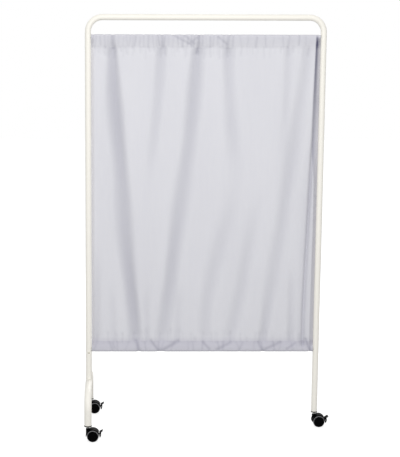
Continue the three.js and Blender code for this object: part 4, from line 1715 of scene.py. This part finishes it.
    def painted_fold_shade(self, x: Array, z: Array, layer: Array, folds: Array, ripple: Array, edge_painted_shade: Array) -> Array:
        """Painted shade in the folds, creases and edges, with a faint unevenness of its own.

        The unevenness is its size times (1 + sin(x / 41 + z / 520) times sin(x / 113 - z / 260)).

        Args:
            x: places across, in millimetres.
            z: heights, in millimetres.
            layer: whether each point is on the single layer.
            folds: how far the long folds stand back, in millimetres.
            ripple: how far the creases, gathers and puckers stand back, in millimetres.
            edge_painted_shade: tone of the edges.

        Returns:
            From 0 to 1, as a share of the deepest tone.
        """
        uneven = self.unevenness * (1 + np.sin(x / 41 + z / 520) * np.sin(x / 113 - z / 260))
        folded = folds / self.painted_fold_shade_at * np.where(layer, *self.fold_painted_shade)
        rippled = ripple / np.where(layer, *self.ripple_painted_shade_depth)
        return np.clip((folded + rippled + edge_painted_shade + uneven) / self.deepest, 0, 1)

    def laid_flat(self, points: Array) -> Array:
        """Lays the cloth flat: the mean distance along the surface from its first column and its first row.

        Args:
            points: the cloth's points, rows by columns by 3.

        Returns:
            UV from 0 to 1, rows by columns by 2.
        """
        across = np.linalg.norm(np.diff(points, axis=1), axis=-1).mean(axis=0)
        along = np.linalg.norm(np.diff(points, axis=0), axis=-1).mean(axis=1)
        u, v = (np.concatenate([[0], np.cumsum(steps)]) for steps in (across, along))
        log.info("cloth: %.0f by %.0f mm along its surface", u[-1], v[-1])
        return np.stack(np.broadcast_arrays(u[None] / u[-1], v[:, None] / v[-1]), axis=-1)

    def mesh(self, points: Array, uv: Array, marks: dict[str, Array]) -> bpy.types.Mesh:
        """The cloth's mesh, before it gets its thickness.

        Args:
            points: the cloth's points, rows by columns by 3.
            uv: where they lie on the flat cut, rows by columns by 2.
            marks: values for its attributes by name, rows by columns.

        Returns:
            The mesh.
        """
        mesh = bpy.data.meshes.new("cloth")
        mesh.from_pydata(points.reshape(-1, 3).tolist(), [], grid_faces(Grid(points, columns_meet=False), 0))
        corner = np.empty(len(mesh.loops), dtype=np.int32)
        mesh.loops.foreach_get("vertex_index", corner)
        layer = mesh.uv_layers.new(name="cut")
        layer.data.foreach_set("uv", uv.reshape(-1, 2)[corner].astype(np.float32).ravel())
        for name, values in marks.items():
            mesh.attributes.new(name, "FLOAT", "POINT").data.foreach_set("value", values.astype(np.float32).ravel())
        mesh.shade_smooth()
        return mesh

    def stitches(self, line: Array) -> Array:
        """Places of a row of stitches on the cloth's front, each a small spindle along the seam.

        With t from -1 to 1 along the stitch, its radius is half the thread times the root of 1 - t^2. Its middle
        stands a little off the cloth.

        Args:
            line: the seam's points on the cloth's middle surface, in rows of three.

        Returns:
            Points, stitches by rings by sides by 3.
        """
        run = np.concatenate([[0], np.cumsum(np.linalg.norm(np.diff(line, axis=0), axis=1))])
        t = np.linspace(-1, 1, self.stitch_rings)
        middles = np.arange(self.stitch_pitch, run[-1] - self.stitch_pitch, self.stitch_pitch)
        places = middles[:, None] + t * self.stitch_length / 2
        at = np.stack([np.interp(places, run, line[:, k]) for k in range(3)], axis=-1)
        way = at[:, -1:] - at[:, :1]
        way /= np.linalg.norm(way, axis=-1, keepdims=True)
        up = np.array([0.0, 0.0, 1.0])
        out = np.cross(way, up)
        at = at + out * (self.thickness / 2 + self.thread_lift)
        angle = np.arange(self.stitch_sides) * 2 * np.pi / self.stitch_sides
        ring = out[:, :, None] * np.cos(angle)[:, None] + up * np.sin(angle)[:, None]
        radius = self.thread / 2 * np.sqrt(np.maximum(1 - t**2, 0))
        return at[:, :, None] + ring * radius[:, None, None]

    def build(self) -> None:
        points, uv, marks = self.points()
        points = points + np.array([self.middle_x, 0, 0])
        material = WovenCloth().material(self.cut_width, self.cut_length)
        cloth = dress("cloth", self.mesh(points, uv, marks), "frame", "cloth", material, "curtain")
        thicken = cloth.modifiers.new("thickness", "SOLIDIFY")
        thicken.thickness = self.thickness * MM
        thicken.offset = 0
        # The stitches run one row inside each hem's front, next to its seam
        top_seam = 2 * self.hem_rows + self.pocket_rows - 1
        seams = (points[top_seam - 1], points[top_seam + self.layer_rows + 2])
        spindles = np.concatenate([self.stitches(line) for line in seams])
        seam = mesh_of("hem_stitches", *(Grid(spindle) for spindle in spindles), crease=80)
        threads = dress("hem_stitches", seam, "frame", "cloth", THREAD.material())


# Studio


@dataclass(frozen=True)
class Lamp:
    """A soft rectangular lamp that no camera sees, in metres and watts."""

    name: str
    place: tuple[float, float, float]
    power: float
    aim: tuple[float, float, float] = (0.0, 0.0, 1.3)
    width: float = 1.6
    height: float = 1.0

    def build(self) -> None:
        """Adds the lamp to the scene, turned towards the point that it lights."""
        data = bpy.data.lights.new(self.name, "AREA")
        data.shape = "RECTANGLE"
        data.size, data.size_y = self.width, self.height
        data.energy = self.power
        lamp = bpy.data.objects.new(self.name, data)
        lamp.location = self.place
        lamp.rotation_euler = (Vector(self.aim) - Vector(self.place)).to_track_quat("-Z", "Y").to_euler()
        lamp.visible_camera = False
        bpy.context.scene.collection.objects.link(lamp)


LAMPS = (Lamp("key", (-0.3, -3.3, 2.3), 67), Lamp("back_fill", (0.3, 3.3, 2.3), 52))


@dataclass(frozen=True)
class Studio:
    """The floor, the light and the camera.

    The camera's place and sensor are in millimetres, its angles in degrees, and its focal length and optical centre in
    pixels of the photograph. The floor's size, the distance over which its lift to white goes from the first level to
    the second, and how far the camera sees are in metres.
    """

    camera_place: tuple[float, float, float] = (-384, -5592, 1704)
    yaw: float = 0.721
    pitch: float = 9.646
    roll: float = -0.162
    focal_pixels: float = 1336.5
    optical_centre: Pair = (135.0, 254.97)
    sensor: float = 36.0
    sight: float = 100.0
    floor_size: float = 30.0
    floor_grey: float = 0.4
    floor_lift: Pair = (0.76, 0.83)
    lift_distance: Pair = (1.0, 4.0)
    ambient: float = 0.61

    def camera(self) -> None:
        """Makes the camera at the photograph's place, turned and shifted as the photograph was framed."""
        yaw, pitch, roll = (math.radians(a) for a in (self.yaw, self.pitch, self.roll))
        ahead = Vector((math.sin(yaw) * math.cos(pitch), math.cos(yaw) * math.cos(pitch), -math.sin(pitch)))
        level = Vector((math.cos(yaw), -math.sin(yaw), 0))
        down = ahead.cross(level)
        right = level * math.cos(roll) + down * math.sin(roll)
        up = level * math.sin(roll) - down * math.cos(roll)
        width, height = IMAGE_SIZE
        data = bpy.data.cameras.new("camera")
        data.sensor_width = self.sensor
        data.lens = self.focal_pixels * self.sensor / height
        data.shift_x = (width / 2 - self.optical_centre[0]) / height
        data.shift_y = (self.optical_centre[1] - height / 2) / height
        data.clip_end = self.sight
        camera = bpy.data.objects.new("camera", data)
        turn = Matrix((right, up, -ahead)).transposed()
        camera.matrix_world = Matrix.Translation(Vector(self.camera_place) * MM) @ turn.to_4x4()
        bpy.context.scene.collection.objects.link(camera)
        bpy.context.scene.camera = camera

    def shown_white(self, tree: Tree) -> bpy.types.NodeSocket:
        """What the camera sees, directly, in a reflection or through something.

        Args:
            tree: the nodes to add to.

        Returns:
            A socket that is 1 for camera, glossy and transmission rays and 0 for the others.
        """
        ray = tree.add("ShaderNodeLightPath").outputs
        first = tree.add("ShaderNodeMath", {0: ray["Is Camera Ray"], 1: ray["Is Glossy Ray"]}, operation="MAXIMUM")
        both = {0: first.outputs[0], 1: ray["Is Transmission Ray"]}
        return tree.add("ShaderNodeMath", both, operation="MAXIMUM").outputs[0]

    def world(self) -> None:
        """Makes the world: white to the camera and in reflections, and otherwise a soft even light."""
        world = bpy.data.worlds.new("studio")
        bpy.context.scene.world = world
        tree = Tree(world)
        levels = {"Value": self.shown_white(tree), "To Min": self.ambient, "To Max": 1.0}
        strength = tree.add("ShaderNodeMapRange", levels).outputs[0]
        light = tree.add("ShaderNodeBackground", {"Color": (1, 1, 1, 1), "Strength": strength})
        tree.add("ShaderNodeOutputWorld", {"Surface": light.outputs[0]})

    def floor(self) -> None:
        """Makes the floor: pale and matt, lifted to white for the camera but still darker in the object's shadow."""
        half = self.floor_size / 2
        corners = [(-half, -half, 0), (half, -half, 0), (half, half, 0), (-half, half, 0)]
        mesh = bpy.data.meshes.new("floor")
        mesh.from_pydata(corners, [], [(0, 1, 2, 3)])
        floor = bpy.data.objects.new("floor", mesh)
        bpy.context.scene.collection.objects.link(floor)
        material = bpy.data.materials.new("vinyl_floor_white")
        tree = Tree(material)
        place = tree.add("ShaderNodeTexCoord").outputs["Object"]
        distance = tree.add("ShaderNodeVectorMath", {0: place}, operation="LENGTH").outputs["Value"]
        (near, far), (low, high) = self.lift_distance, self.floor_lift
        spread = {"Value": distance, "From Min": near, "From Max": far, "To Min": low, "To Max": high}
        lift = tree.add("ShaderNodeMapRange", spread).outputs[0]
        shown = tree.add("ShaderNodeMath", {0: self.shown_white(tree), 1: lift}, operation="MULTIPLY").outputs[0]
        matt = tree.add("ShaderNodeBsdfDiffuse", {"Color": (*[self.floor_grey] * 3, 1)})
        glow = tree.add("ShaderNodeEmission", {"Color": (1, 1, 1, 1), "Strength": shown})
        both = tree.add("ShaderNodeAddShader", {0: matt.outputs[0], 1: glow.outputs[0]})
        tree.add("ShaderNodeOutputMaterial", {"Surface": both.outputs[0]})
        mesh.materials.append(material)

    def build(self) -> None:
        """Sets the whole stage."""
        bpy.context.scene.view_settings.view_transform = "Standard"
        self.camera()
        self.world()
        self.floor()
        for lamp in LAMPS:
            lamp.build()


def main() -> None:
    """Builds the stage, the frame, the castors and the curtain."""
    logging.basicConfig(level=logging.INFO, format="%(name)s: %(message)s")
    Studio().build()
    tube_frame = TubeFrame(middle_x=centre_of("upper_frame").x)
    tube_frame.build()
    Castors(tube_frame).build()
    Curtain(middle_x=tube_frame.middle_x).build()


if __name__ == "__main__":
    main()
